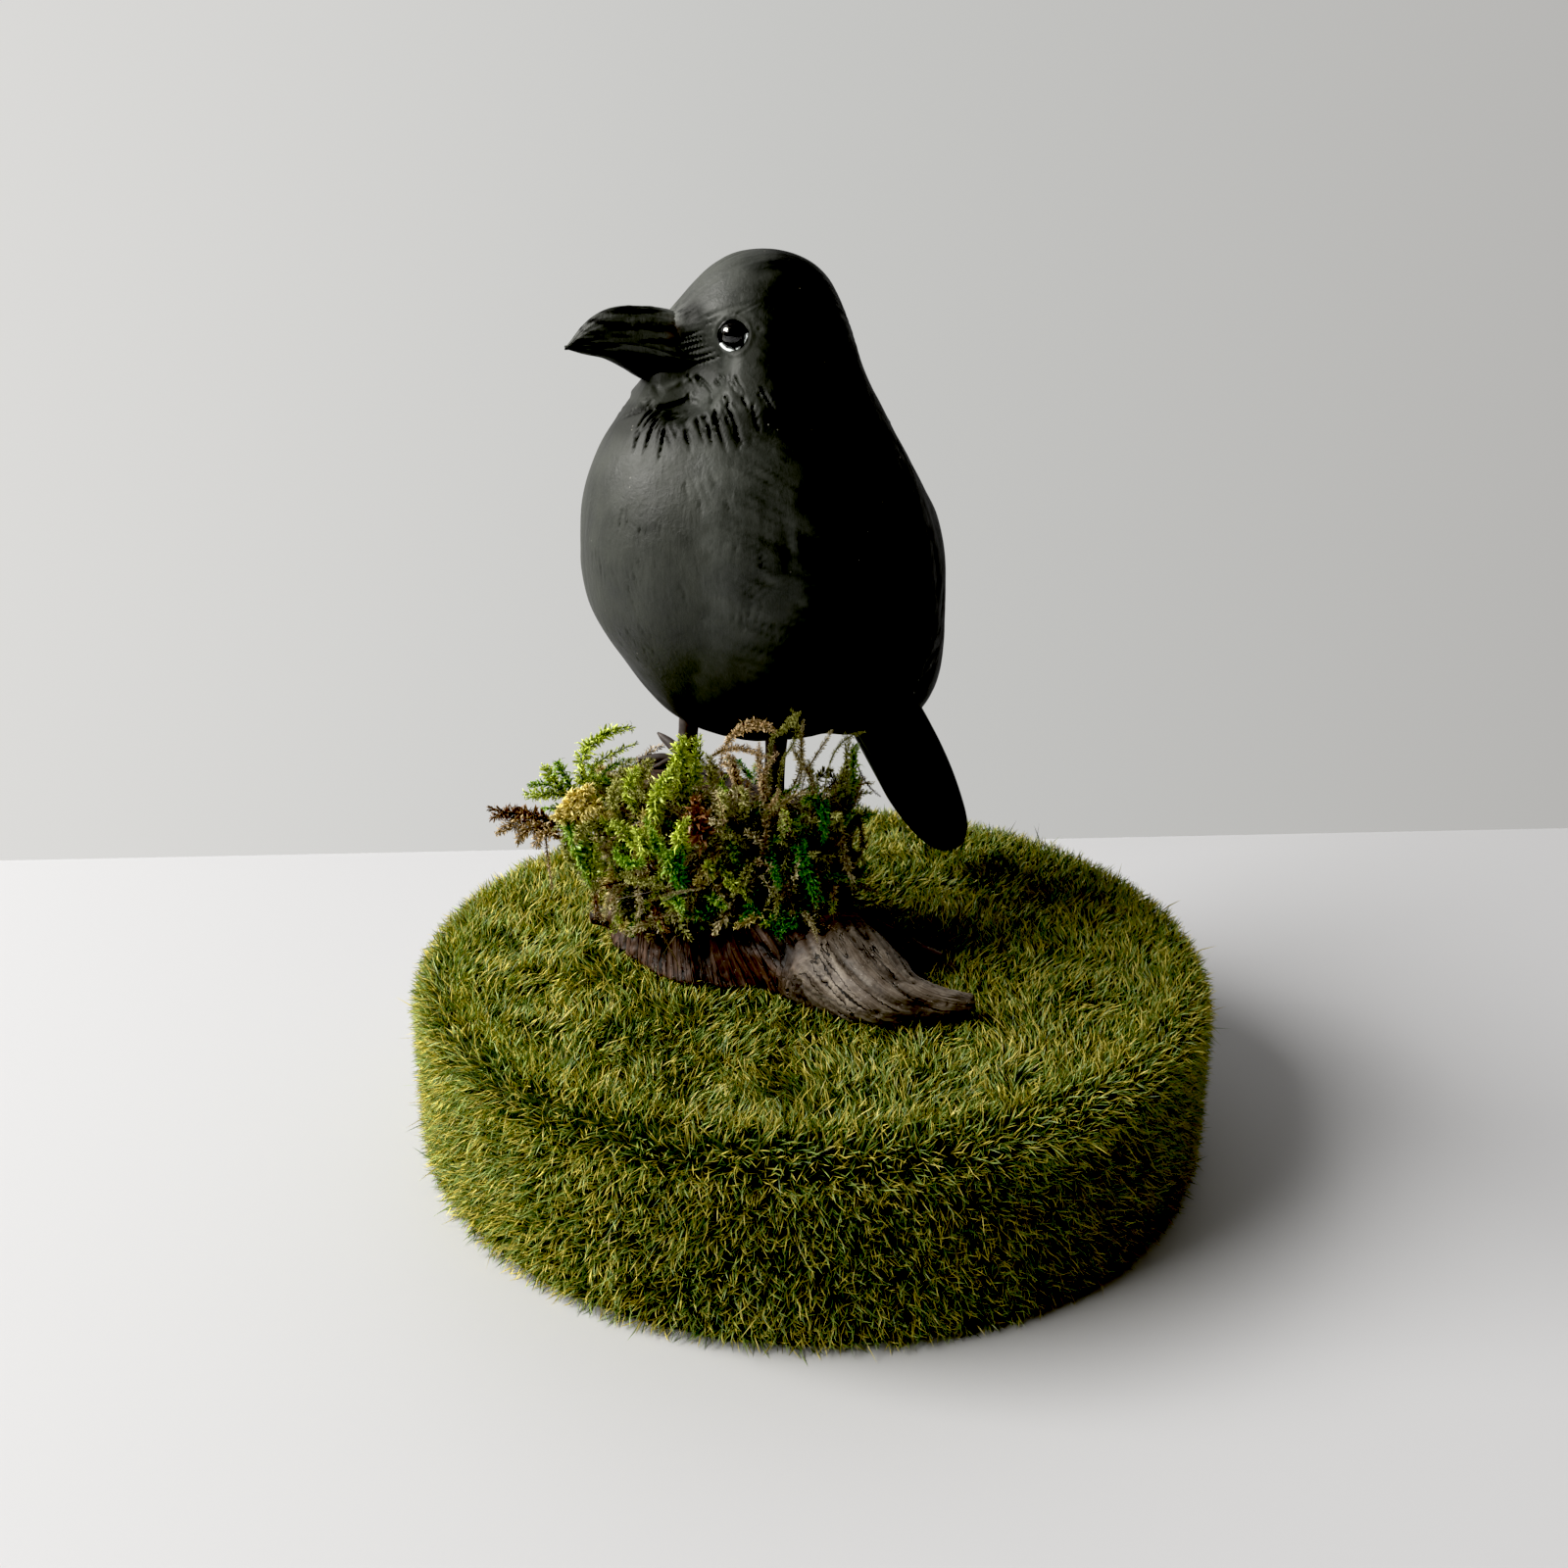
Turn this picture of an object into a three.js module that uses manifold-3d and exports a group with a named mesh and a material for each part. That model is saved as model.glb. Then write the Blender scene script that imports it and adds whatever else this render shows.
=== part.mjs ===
// A small crow modelled in black clay, standing on a moss-covered clay stump on a turf-covered drum.
// Millimetres, +Z up. The origin is the centre of the drum's underside, and -Y is the side seen first.

import * as THREE from "three";
import { mergeVertices } from "three/addons/utils/BufferGeometryUtils.js";
import Module from "manifold-3d";

const wasm = await Module();
wasm.setup();

// Driving dimensions

const CLEARANCE = 0.3;

const DRUM = { radius: 52.3, height: 26, sway: 0.35, facets: 56 };
const DRUM_EDGE = { foot: 0.8, shoulder: 1.5, crease: 0.5 };

const STUMP = { centre: [-11, -1.5], longAxis: -27, base: [13.5, 10], top: [12.4, 8.9] };
const STUMP_TOP = { height: 45.9, fall: 2.2, over: 6, back: 0.08, chip: 0.4 };
const BARK = { grooves: 16, depth: 0.6, ridge: 0.3, sides: 12 };

const MOSS = { radii: [17, 13.2], around: 34, low: 33.2, high: 50, fallBack: 8, lump: 0.9 };

const CROW = { stand: [-7.2, 0], heading: 222, headHeading: 199, blend: 5 };

// Each lump of clay: how far ahead of the standing point and how high its middle is, its half sizes
// ahead, sideways and up, and how far its nose is tipped up in degrees.
const CLAY = [
  { name: "breast", ahead: 0.9, up: 78.5, half: [20.8, 18.6, 21.8], tip: 22.5 },
  { name: "back", ahead: -8.3, up: 71.3, half: [19.1, 16.5, 18.7], tip: 25.5 },
  { name: "belly", ahead: -0.9, up: 63, half: [13.8, 13.6, 9.2], tip: 0 },
  { name: "rump", ahead: -16.9, up: 60.6, half: [12.7, 11.2, 10.4], tip: 37 },
  { name: "neck", ahead: -1, up: 91.7, half: [12.8, 11.9, 11.7], tip: 40 },
  { name: "skull", ahead: -1.4, up: 101.1, half: [10.1, 9.2, 9.7], tip: 0 },
];

const SPINE = { low: { ahead: -4, up: 70 }, high: { ahead: -1.4, up: 100.5 }, around: 44, along: 32 };
const REACH = { far: 45, halvings: 22 };

// The wing's edge: its angle from straight ahead above and below the knee, and the valley in front of it.
const WING = { frontAngle: 56, knee: 71, lean: 8, sweep: 75, drop: 13.6 };
const VALLEY = { step: 1.3, edge: 1.6, width: 7, low: 54, high: 90, fade: 7 };
const WING_LINE = {
  up: [88, 85, 82, 79, 76, 73, 70.5, 68, 66, 64, 62.5, 61, 59.7],
  width: 0.45,
  depth: 1.5,
  proud: -0.3,
};

const THROAT = { strokes: 19, right: -44, left: 56, middle: 6 };
const FRINGE = { up: 94.2, lift: 2.4, stagger: 0.9, length: 5.4 };
const STROKE = { width: 0.42, depth: 0.7, proud: 0.2 };

const BEAK = { root: 7.5, tip: 23.5, halfWidth: 3.4, lip: 0.35, jawEnd: 0.86, sides: 9, steps: 8 };

const TAIL = {
  heading: 36,
  start: [5.6, 11.8, 59],
  end: [18.9, 21.3, 29.2],
  halfWidth: 9,
  halfThick: 3,
  bow: 0.8,
  roundFrom: 0.72,
  sides: 12,
  steps: 8,
};

const EYE = { radius: 1.5, ahead: 6.1, up: 0.8, sunk: 0.35 };

const LEG = { ahead: 4.4, apart: 8.4, radius: 1.2, toe: 0.55 };

// Materials

const material = (color, roughness) => (
  new THREE.MeshStandardMaterial({ color, roughness, metalness: 0 })
);
const BLACK_CLAY = material(0x1b1d20, 0.62);
const LEG_CLAY = material(0x4a4039, 0.7);
const GLASS = material(0x0c0d0f, 0.05);
const BARK_CLAY = material(0x4b3a31, 0.75);
const MOSS_GREEN = material(0x66702a, 0.9);
const TURF_GREEN = material(0x5b6a1d, 0.95);

// Small helpers

const radians = THREE.MathUtils.degToRad;
const { clamp, lerp, smoothstep } = THREE.MathUtils;

function axesOf(heading, tip = 0) {
  const turn = radians(heading);
  const lift = radians(tip);
  const left = new THREE.Vector3(-Math.sin(turn), Math.cos(turn), 0);
  const ahead = new THREE.Vector3(Math.cos(turn), Math.sin(turn), 0).multiplyScalar(Math.cos(lift));
  ahead.z = Math.sin(lift);
  return { ahead, left, up: ahead.clone().cross(left) };
}

const BODY = axesOf(CROW.heading);
const HEAD = axesOf(CROW.headHeading);

function bodyPoint(ahead, left, up) {
  const point = new THREE.Vector3(CROW.stand[0], CROW.stand[1], up);
  return point.addScaledVector(BODY.ahead, ahead).addScaledVector(BODY.left, left);
}

// A value read off an evenly spaced list, from 0 at its start to 1 at its end.
function along(values, t) {
  const place = clamp(t, 0, 1) * (values.length - 1);
  const k = Math.min(Math.floor(place), values.length - 2);
  return lerp(values[k], values[k + 1], place - k);
}

// Rings of points become one closed skin, with a fan over each end.
function closedSkin(rings) {
  const count = rings[0].length;
  const middle = (ring) => ring.reduce((sum, p) => sum.add(p), new THREE.Vector3()).divideScalar(count);
  const points = rings.flat().concat([middle(rings[0]), middle(rings.at(-1))]);
  const lowPole = rings.length * count;
  const faces = [];
  for (let i = 0; i < rings.length - 1; i += 1) {
    for (let j = 0; j < count; j += 1) {
      const a = i * count + j;
      const b = i * count + (j + 1) % count;
      faces.push(a, b, b + count, a, b + count, a + count);
    }
  }
  for (let j = 0; j < count; j += 1) {
    const next = (j + 1) % count;
    faces.push(lowPole, next, j);
    faces.push(lowPole + 1, lowPole - count + j, lowPole - count + next);
  }
  const skin = new THREE.BufferGeometry().setFromPoints(points);
  skin.setIndex(faces);
  return volumeOf(skin) < 0 ? insideOut(skin) : skin;
}

function volumeOf(skin) {
  const at = (k) => new THREE.Vector3().fromBufferAttribute(skin.attributes.position, skin.index.getX(k));
  let total = 0;
  for (let k = 0; k < skin.index.count; k += 3) {
    total += at(k).dot(at(k + 1).cross(at(k + 2)));
  }
  return total / 6;
}

function insideOut(skin) {
  const order = Array.from(skin.index.array);
  for (let k = 0; k < order.length; k += 3) {
    [order[k + 1], order[k + 2]] = [order[k + 2], order[k + 1]];
  }
  skin.setIndex(order);
  return skin;
}

function toSolid(geometry) {
  const bare = geometry.clone();
  bare.deleteAttribute("normal");
  bare.deleteAttribute("uv");
  const merged = mergeVertices(bare);
  const vertProperties = Float32Array.from(merged.attributes.position.array);
  const triVerts = Uint32Array.from(merged.index.array);
  return new wasm.Manifold(new wasm.Mesh({ numProp: 3, vertProperties, triVerts }));
}

function toGeometry(solid) {
  const { vertProperties, triVerts } = solid.getMesh();
  const geometry = new THREE.BufferGeometry();
  geometry.setAttribute("position", new THREE.BufferAttribute(Float32Array.from(vertProperties), 3));
  geometry.setIndex(Array.from(triVerts));
  geometry.computeVertexNormals();
  return geometry;
}

const joined = (solids) => solids.reduce((whole, next) => whole.add(next));

function meshOf(name, geometry, finish) {
  const mesh = new THREE.Mesh(geometry, finish);
  mesh.name = name;
  return mesh;
}

// A round, tapering rod along a smooth path. radiusAt gives its radius, from 0 at the start to 1 at the
// end.
function taperedRod(points, radiusAt, sides, steps) {
  const corners = points.map((p) => (p.isVector3 ? p : new THREE.Vector3(...p)));
  const path = new THREE.CatmullRomCurve3(corners);
  const frames = path.computeFrenetFrames(steps, false);
  const rings = [];
  for (let i = 0; i <= steps; i += 1) {
    const t = i / steps;
    const centre = path.getPointAt(t);
    const ring = [];
    for (let j = 0; j < sides; j += 1) {
      const turn = 2 * Math.PI * j / sides;
      const point = centre.clone().addScaledVector(frames.normals[i], Math.cos(turn) * radiusAt(t));
      ring.push(point.addScaledVector(frames.binormals[i], Math.sin(turn) * radiusAt(t)));
    }
    rings.push(ring);
  }
  return toSolid(closedSkin(rings));
}

// Drum: a disc wrapped in turf mat, with a soft crease where the top mat meets the band round its side.

function turfBase() {
  const { radius: r, height: h } = DRUM;
  const { foot, shoulder, crease } = DRUM_EDGE;
  const rows = [
    [r - foot, 0],
    [r, 2 * foot],
    [r, h - 2 * shoulder],
    [r - crease, h - shoulder],
    [r - shoulder, h - 0.3 * shoulder],
    [r - 2.2 * shoulder, h],
  ];
  const rings = rows.map(([radius, z]) => {
    const ring = [];
    for (let j = 0; j < DRUM.facets; j += 1) {
      const turn = 2 * Math.PI * j / DRUM.facets;
      const out = radius + DRUM.sway * Math.sin(4 * turn + 0.6) * Math.sin(Math.PI * z / h);
      ring.push(new THREE.Vector3(out * Math.cos(turn), out * Math.sin(turn), z));
    }
    return ring;
  });
  return closedSkin(rings);
}

// Stump: an oval stub with bark grooves, a broken sloping top and roots that run out over the turf.

function ovalRadius(turn, [long, short]) {
  const angle = turn - radians(STUMP.longAxis);
  return 1 / Math.hypot(Math.cos(angle) / long, Math.sin(angle) / short);
}

// The broken top is higher on the left, where the crow's right foot stands.
function stumpTop(x, y) {
  const slope = STUMP_TOP.fall * Math.tanh((x - STUMP.centre[0]) / STUMP_TOP.over);
  return STUMP_TOP.height - slope - STUMP_TOP.back * (y - STUMP.centre[1]);
}

// Roots swell the foot of the stump: the angle of each, how far it swells and how wide it is in degrees.
const SWELLS = [[178, 3.2, 34], [300, 2.6, 26], [20, 2.4, 30], [95, 2.2, 36]];

function stumpRadius(turn, level, grow, carved) {
  const foot = (1 - level) ** 3;
  const middle = ovalRadius(turn, STUMP.base.map((size, k) => lerp(size, STUMP.top[k], level)));
  const groove = BARK.depth * (0.5 + 0.5 * Math.cos(BARK.grooves * turn + 3 * level));
  return SWELLS.reduce((out, [angle, swell, width]) => {
    const away = Math.atan2(Math.sin(turn - radians(angle)), Math.cos(turn - radians(angle)));
    return out + foot * swell * Math.exp(-((away / radians(width)) ** 2));
  }, middle + grow - (carved ? groove : 0));
}

function stumpStub({ around, levels, grow = 0, carved = true }) {
  const low = DRUM.height + CLEARANCE - grow;
  const rings = [];
  for (let i = 0; i <= levels; i += 1) {
    const level = i / levels;
    const ring = [];
    for (let j = 0; j < around; j += 1) {
      const turn = 2 * Math.PI * j / around;
      const out = stumpRadius(turn, level, grow, carved);
      const x = STUMP.centre[0] + out * Math.cos(turn);
      const y = STUMP.centre[1] + out * Math.sin(turn);
      const rim = stumpTop(x, y) + grow + STUMP_TOP.chip * (carved ? Math.sin(5 * turn + 1) : 1);
      ring.push(new THREE.Vector3(x, y, lerp(low, rim, level)));
    }
    rings.push(ring);
  }
  rings.push(rings.at(-1).map((p) => {
    const x = lerp(STUMP.centre[0], p.x, 0.86);
    const y = lerp(STUMP.centre[1], p.y, 0.86);
    return new THREE.Vector3(x, y, stumpTop(x, y) + grow + (carved ? 0 : STUMP_TOP.chip));
  }));
  return toSolid(closedSkin(rings));
}

// Roots lie on the turf beyond the stump's foot. Each is a path of points with the half width and half
// height at its start, its middle and its tip.
const ROOTS = [
  {
    path: [[-4, -8, 30], [3.4, -15.6, 28], [8.6, -20.8, 27.2], [13, -22.6, 27], [19, -22.8, 27]],
    wide: [9, 7.2, 5.4, 2.9, 1.1],
    high: [8, 5.6, 4.2, 2.6, 1],
  },
  {
    path: [[-3, -2, 30], [6, -6.5, 28], [12, -9.5, 27.2], [16.5, -10.5, 26.8]],
    wide: [5, 3.4, 2.2, 0.8],
    high: [5, 3, 2, 0.9],
  },
  {
    path: [[-16, 1, 30], [-24, 2.2, 27.6], [-29.5, 1.6, 26.8]],
    wide: [5, 3.2, 0.9],
    high: [5, 2.6, 0.9],
  },
  {
    path: [[-12, 4, 30], [-15, 11.5, 27.6], [-18.5, 17, 26.8]],
    wide: [4.5, 2.8, 0.8],
    high: [5, 2.6, 0.9],
  },
];

function rootRod({ path, wide, high }, grow) {
  const line = new THREE.CatmullRomCurve3(path.map((p) => new THREE.Vector3(...p)));
  const steps = 2 * (path.length - 1);
  const rings = [];
  for (let i = 0; i <= steps; i += 1) {
    const t = i / steps;
    const centre = line.getPoint(t);
    const side = new THREE.Vector3(0, 0, 1).cross(line.getTangent(t)).normalize();
    const ring = [];
    for (let j = 0; j < BARK.sides; j += 1) {
      const turn = 2 * Math.PI * j / BARK.sides;
      const fluted = grow - BARK.ridge * (j % 2) * (1 - t);
      const across = Math.cos(turn) * (along(wide, t) + fluted);
      const rise = Math.sin(turn) * (along(high, t) + fluted);
      ring.push(centre.clone().addScaledVector(side, across).add(new THREE.Vector3(0, 0, rise)));
    }
    rings.push(ring);
  }
  return toSolid(closedSkin(rings));
}

function stump() {
  const stub = stumpStub({ around: 48, levels: 4 });
  const slab = new THREE.BoxGeometry(2 * DRUM.radius, 2 * DRUM.radius, DRUM.height);
  const ground = toSolid(slab.translate(0, 0, DRUM.height / 2 + CLEARANCE));
  return joined([stub, ...ROOTS.map((root) => rootRod(root, 0))]).subtract(ground);
}

// Crow: smooth lumps of clay pressed together, surfaced by feeling outwards from a spine.

function lumpDistance(point, lump) {
  const q = point.clone().sub(lump.centre);
  const local = [q.dot(lump.axes.ahead), q.dot(lump.axes.left), q.dot(lump.axes.up)];
  const near = Math.hypot(...local.map((v, k) => v / lump.half[k]));
  const slope = Math.hypot(...local.map((v, k) => v / lump.half[k] ** 2));
  return near * (near - 1) / Math.max(slope, 1e-9);
}

function softMin(a, b, blend) {
  const mix = clamp(0.5 + 0.5 * (b - a) / blend, 0, 1);
  return lerp(b, a, mix) - blend * mix * (1 - mix);
}

const lumps = CLAY.map(({ name, ahead, up, half, tip }) => ({
  half,
  centre: bodyPoint(ahead, 0, up),
  axes: axesOf(name === "skull" ? CROW.headHeading : CROW.heading, tip),
}));

const skullCentre = lumps.at(-1).centre;

const clayDistance = (point) => lumps
  .map((lump) => lumpDistance(point, lump))
  .reduce((a, b) => softMin(a, b, CROW.blend));

function headPoint(ahead, left, up) {
  const point = skullCentre.clone().addScaledVector(HEAD.ahead, ahead);
  return point.addScaledVector(HEAD.left, left).addScaledVector(HEAD.up, up);
}

// The first surface met from inside along a direction, by halving the interval.
function reachSkin(from, direction) {
  let inside = 0;
  let outside = REACH.far;
  for (let k = 0; k < REACH.halvings; k += 1) {
    const half = (inside + outside) / 2;
    if (clayDistance(from.clone().addScaledVector(direction, half)) < 0) {
      inside = half;
    } else {
      outside = half;
    }
  }
  return inside;
}

// The wing's edge runs down the flank and then sweeps back to the wing tip: its angle from straight ahead.
function wingEdge(height) {
  const drop = (WING.knee - height) / WING.drop;
  return WING.frontAngle + (drop > 0 ? WING.sweep * drop * drop : WING.lean * drop);
}

// The folded wings stand proud of a shallow valley that fades out forwards over the breast.
function wingValley(point) {
  const q = point.clone().sub(bodyPoint(SPINE.low.ahead, 0, point.z));
  const angle = Math.abs(THREE.MathUtils.radToDeg(Math.atan2(q.dot(BODY.left), q.dot(BODY.ahead))));
  const past = radians(angle - wingEdge(point.z)) * Math.hypot(q.x, q.y);
  const inFront = 1 - smoothstep(past, -VALLEY.edge / 2, VALLEY.edge / 2);
  const nearEdge = Math.exp(Math.min(past, 0) / VALLEY.width);
  const below = 1 - smoothstep(point.z, VALLEY.high - VALLEY.fade, VALLEY.high);
  const above = smoothstep(point.z, VALLEY.low, VALLEY.low + VALLEY.fade);
  return -VALLEY.step * inFront * nearEdge * below * above;
}

function skinPoint(turn, latitude, from) {
  const flat = Math.cos(latitude);
  const direction = new THREE.Vector3(0, 0, Math.sin(latitude))
    .addScaledVector(BODY.ahead, flat * Math.cos(turn))
    .addScaledVector(BODY.left, flat * Math.sin(turn));
  const point = from.clone().addScaledVector(direction, reachSkin(from, direction));
  return point.addScaledVector(direction, wingValley(point));
}

function bodySkin() {
  const low = bodyPoint(SPINE.low.ahead, 0, SPINE.low.up);
  const high = bodyPoint(SPINE.high.ahead, 0, SPINE.high.up);
  const rings = [];
  for (let i = 1; i < SPINE.along; i += 1) {
    const t = i / SPINE.along;
    const from = low.clone().lerp(high, smoothstep(t, 0.12, 0.88));
    const ring = [];
    for (let j = 0; j < SPINE.around; j += 1) {
      ring.push(skinPoint(2 * Math.PI * j / SPINE.around, Math.PI * (t - 0.5), from));
    }
    rings.push(ring);
  }
  return toSolid(closedSkin(rings));
}

// Beak: the two halves meet along the gape. Heights run from the root to the tip, from the skull's middle.
const CULMEN = [4.2, 4.0, 3.8, 3.9, 3.95, 3.6, 2.9, 1.7, 0.2];
const GAPE = [-2.6, -2.4, -1.9, -1.2, -0.8, -0.6, -0.5, -0.5, -0.6];
const JAW = [-4.6, -4.7, -4.6, -3.9, -3.1, -2.4, -1.9, -1.6, -1.3];

function beakHalf(upper) {
  const end = upper ? 1 : BEAK.jawEnd;
  const rings = [];
  for (let i = 0; i <= BEAK.steps; i += 1) {
    const t = end * i / BEAK.steps;
    const close = Math.sqrt(Math.max(1 - (i / BEAK.steps) ** 5, 0.02));
    const width = (BEAK.halfWidth * (1 - 0.78 * t ** 1.3) - (upper ? 0 : BEAK.lip)) * close;
    const seam = along(GAPE, t) + (upper ? -0.15 : 0.5);
    const far = along(upper ? CULMEN : JAW, t);
    const ring = [];
    for (let j = 0; j < BEAK.sides; j += 1) {
      const turn = Math.PI * j / (BEAK.sides - 1);
      const side = Math.sign(Math.cos(turn)) * Math.abs(Math.cos(turn)) ** (upper ? 0.85 : 0.7);
      const up = lerp(seam, far, Math.sin(turn) * close);
      ring.push(headPoint(lerp(BEAK.root, BEAK.tip, t), width * side, up));
    }
    rings.push(ring);
  }
  return toSolid(closedSkin(rings));
}

function tail() {
  const [start, end] = [TAIL.start, TAIL.end].map((p) => new THREE.Vector3(...p));
  const axis = end.clone().sub(start).normalize();
  const across = axesOf(TAIL.heading).left;
  const normal = axis.clone().cross(across).normalize();
  const rings = [];
  for (let i = 0; i <= TAIL.steps; i += 1) {
    const t = i / TAIL.steps;
    const past = Math.max(0, (t - TAIL.roundFrom) / (1 - TAIL.roundFrom));
    const round = Math.sqrt(Math.max(1 - past ** 2.4, 0.03));
    const width = TAIL.halfWidth * (0.86 + 0.2 * Math.sin(Math.PI * Math.min(t * 1.1, 1))) * round;
    const thick = TAIL.halfThick * (1.15 - 0.45 * t) * Math.sqrt(round);
    const centre = start.clone().lerp(end, t).addScaledVector(normal, TAIL.bow * Math.sin(Math.PI * t));
    const ring = [];
    for (let j = 0; j < TAIL.sides; j += 1) {
      const turn = 2 * Math.PI * j / TAIL.sides;
      const point = centre.clone().addScaledVector(across, width * Math.cos(turn));
      ring.push(point.addScaledVector(normal, thick * Math.sin(turn)));
    }
    rings.push(ring);
  }
  return toSolid(closedSkin(rings));
}

// A point of the clay's skin, level with a height and at an angle from straight ahead of an upright axis.
function skinAt(axis, angle, up) {
  const from = bodyPoint(axis.ahead, 0, up);
  const turn = radians(angle);
  const outward = BODY.ahead.clone().multiplyScalar(Math.cos(turn));
  outward.addScaledVector(BODY.left, Math.sin(turn));
  return { point: from.addScaledVector(outward, reachSkin(from, outward)), outward };
}

// A knife stroke along places on the skin: a notch with its floor below the skin, closed at both ends.
function knifeStroke(places, { width, depth, proud }) {
  const rings = places.map(({ point, outward }, k) => {
    const before = places[Math.max(k - 1, 0)].point;
    const after = places[Math.min(k + 1, places.length - 1)].point;
    const side = after.clone().sub(before).cross(outward).normalize();
    const size = k === 0 || k === places.length - 1 ? 0.04 : 1;
    return [[width, proud], [0, -depth], [-width, proud], [0, proud + 1]].map(([across, out]) => {
      const lip = point.clone().addScaledVector(outward, proud);
      return lip.addScaledVector(side, across * size).addScaledVector(outward, (out - proud) * size);
    });
  });
  return toSolid(closedSkin(rings));
}

// The shaggy throat: strokes fan out from below the chin, longest in the middle of the fan.
function hackles() {
  return Array.from({ length: THROAT.strokes }, (_, k) => {
    const angle = lerp(THROAT.right, THROAT.left, k / (THROAT.strokes - 1));
    const off = Math.abs(angle - THROAT.middle) / (THROAT.left - THROAT.middle);
    const top = FRINGE.up + FRINGE.lift * off + FRINGE.stagger * (k % 2);
    const length = FRINGE.length * (1 - 0.3 * off);
    const places = [0, 0.4, 1].map((t) => (
      skinAt(SPINE.high, lerp(angle, THROAT.middle, -0.12 * t), top - length * t)
    ));
    return knifeStroke(places, STROKE);
  });
}

// The drawn line under the edge of each folded wing, from the shoulder to the wing tip.
function wingLines() {
  return [1, -1].map((side) => (
    knifeStroke(WING_LINE.up.map((up) => skinAt(SPINE.low, side * wingEdge(up), up)), WING_LINE)
  ));
}

function eyePlace(side) {
  const from = headPoint(EYE.ahead, 0, EYE.up);
  const direction = HEAD.left.clone().multiplyScalar(side);
  return from.addScaledVector(direction, reachSkin(from, direction) - EYE.sunk);
}

function eyeBall(side, radius, across, down) {
  const place = eyePlace(side);
  return new THREE.SphereGeometry(radius, across, down).translate(place.x, place.y, place.z);
}

function crow() {
  const sockets = [1, -1].map((side) => toSolid(eyeBall(side, EYE.radius + CLEARANCE, 10, 7)));
  const whole = joined([bodySkin(), beakHalf(true), beakHalf(false), tail()]);
  return whole.subtract(joined([...hackles(), ...wingLines(), ...sockets]));
}

// Legs: a short shank with four toes, each toe given by its heading, its length and how far its tip rises.
const TOES = {
  right: [[182, 6.3, 0.1], [222, 5.6, -0.2], [262, 4.6, -0.4], [142, 5, 2.9]],
  left: [[186, 4.6, 0.6], [222, 4.4, 0.3], [256, 4.2, -0.2], [42, 4.4, 0.2]],
};

function leg(side, grow = 0) {
  const apart = side === "left" ? LEG.apart : -LEG.apart;
  const hip = bodyPoint(LEG.ahead - 1.2, apart * 0.97, 60);
  const ankle = bodyPoint(LEG.ahead, apart, 0);
  const ground = stumpTop(ankle.x, ankle.y) + CLEARANCE;
  ankle.z = ground + LEG.toe;
  const shank = taperedRod([hip, ankle], (t) => LEG.radius * (1.25 - 0.3 * t) + grow, 8, 3);
  const toes = TOES[side].map(([heading, length, rise]) => {
    const direction = axesOf(heading).ahead;
    const tip = ankle.clone().addScaledVector(direction, length);
    tip.z = Math.max(stumpTop(tip.x, tip.y) + CLEARANCE + LEG.toe, ankle.z - 0.6) + rise;
    const knuckle = ankle.clone().lerp(tip, 0.5);
    knuckle.z += 0.35;
    return taperedRod([ankle, knuckle, tip], (t) => LEG.toe * (1.2 - 0.55 * t) + grow, 5, 3);
  });
  return joined([shank, ...toes]);
}

// Moss: a thick lumpy collar round the stump, low at the back, with sprigs that reach out of it.

function mossTop(turn) {
  const back = 0.5 + 0.5 * Math.sin(turn);
  return MOSS.high - MOSS.fallBack * back ** 1.5 - 2.2 * Math.max(Math.cos(turn + 0.4), 0) ** 2;
}

function mossBottom(turn) {
  return MOSS.low - 5 * smoothstep(-Math.cos(turn - 0.2), 0.1, 0.9) - 3 * Math.max(Math.sin(turn), 0);
}

// The collar's section, from its lower inner lip round the outside to its upper inner lip.
const COLLAR = [
  [0.62, 0],
  [0.98, 0.08],
  [1.04, 0.36],
  [1.02, 0.66],
  [0.94, 0.92],
  [0.8, 1],
  [0.66, 0.92],
];

function mossCollar() {
  const rings = COLLAR.map(([out, level], row) => {
    const ring = [];
    for (let j = 0; j < MOSS.around; j += 1) {
      const turn = 2 * Math.PI * j / MOSS.around;
      const lump = MOSS.lump * (Math.sin(7 * turn + 2.1 * row) + 0.7 * Math.sin(12 * turn - 1.7 * row));
      const radius = ovalRadius(turn, MOSS.radii) * out + lump * smoothstep(out, 0.7, 0.95);
      const x = STUMP.centre[0] + radius * Math.cos(turn);
      const y = STUMP.centre[1] + radius * Math.sin(turn);
      ring.push(new THREE.Vector3(x, y, lerp(mossBottom(turn), mossTop(turn), level) + 0.25 * lump));
    }
    return ring;
  });
  return toSolid(closedSkin(rings));
}

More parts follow.
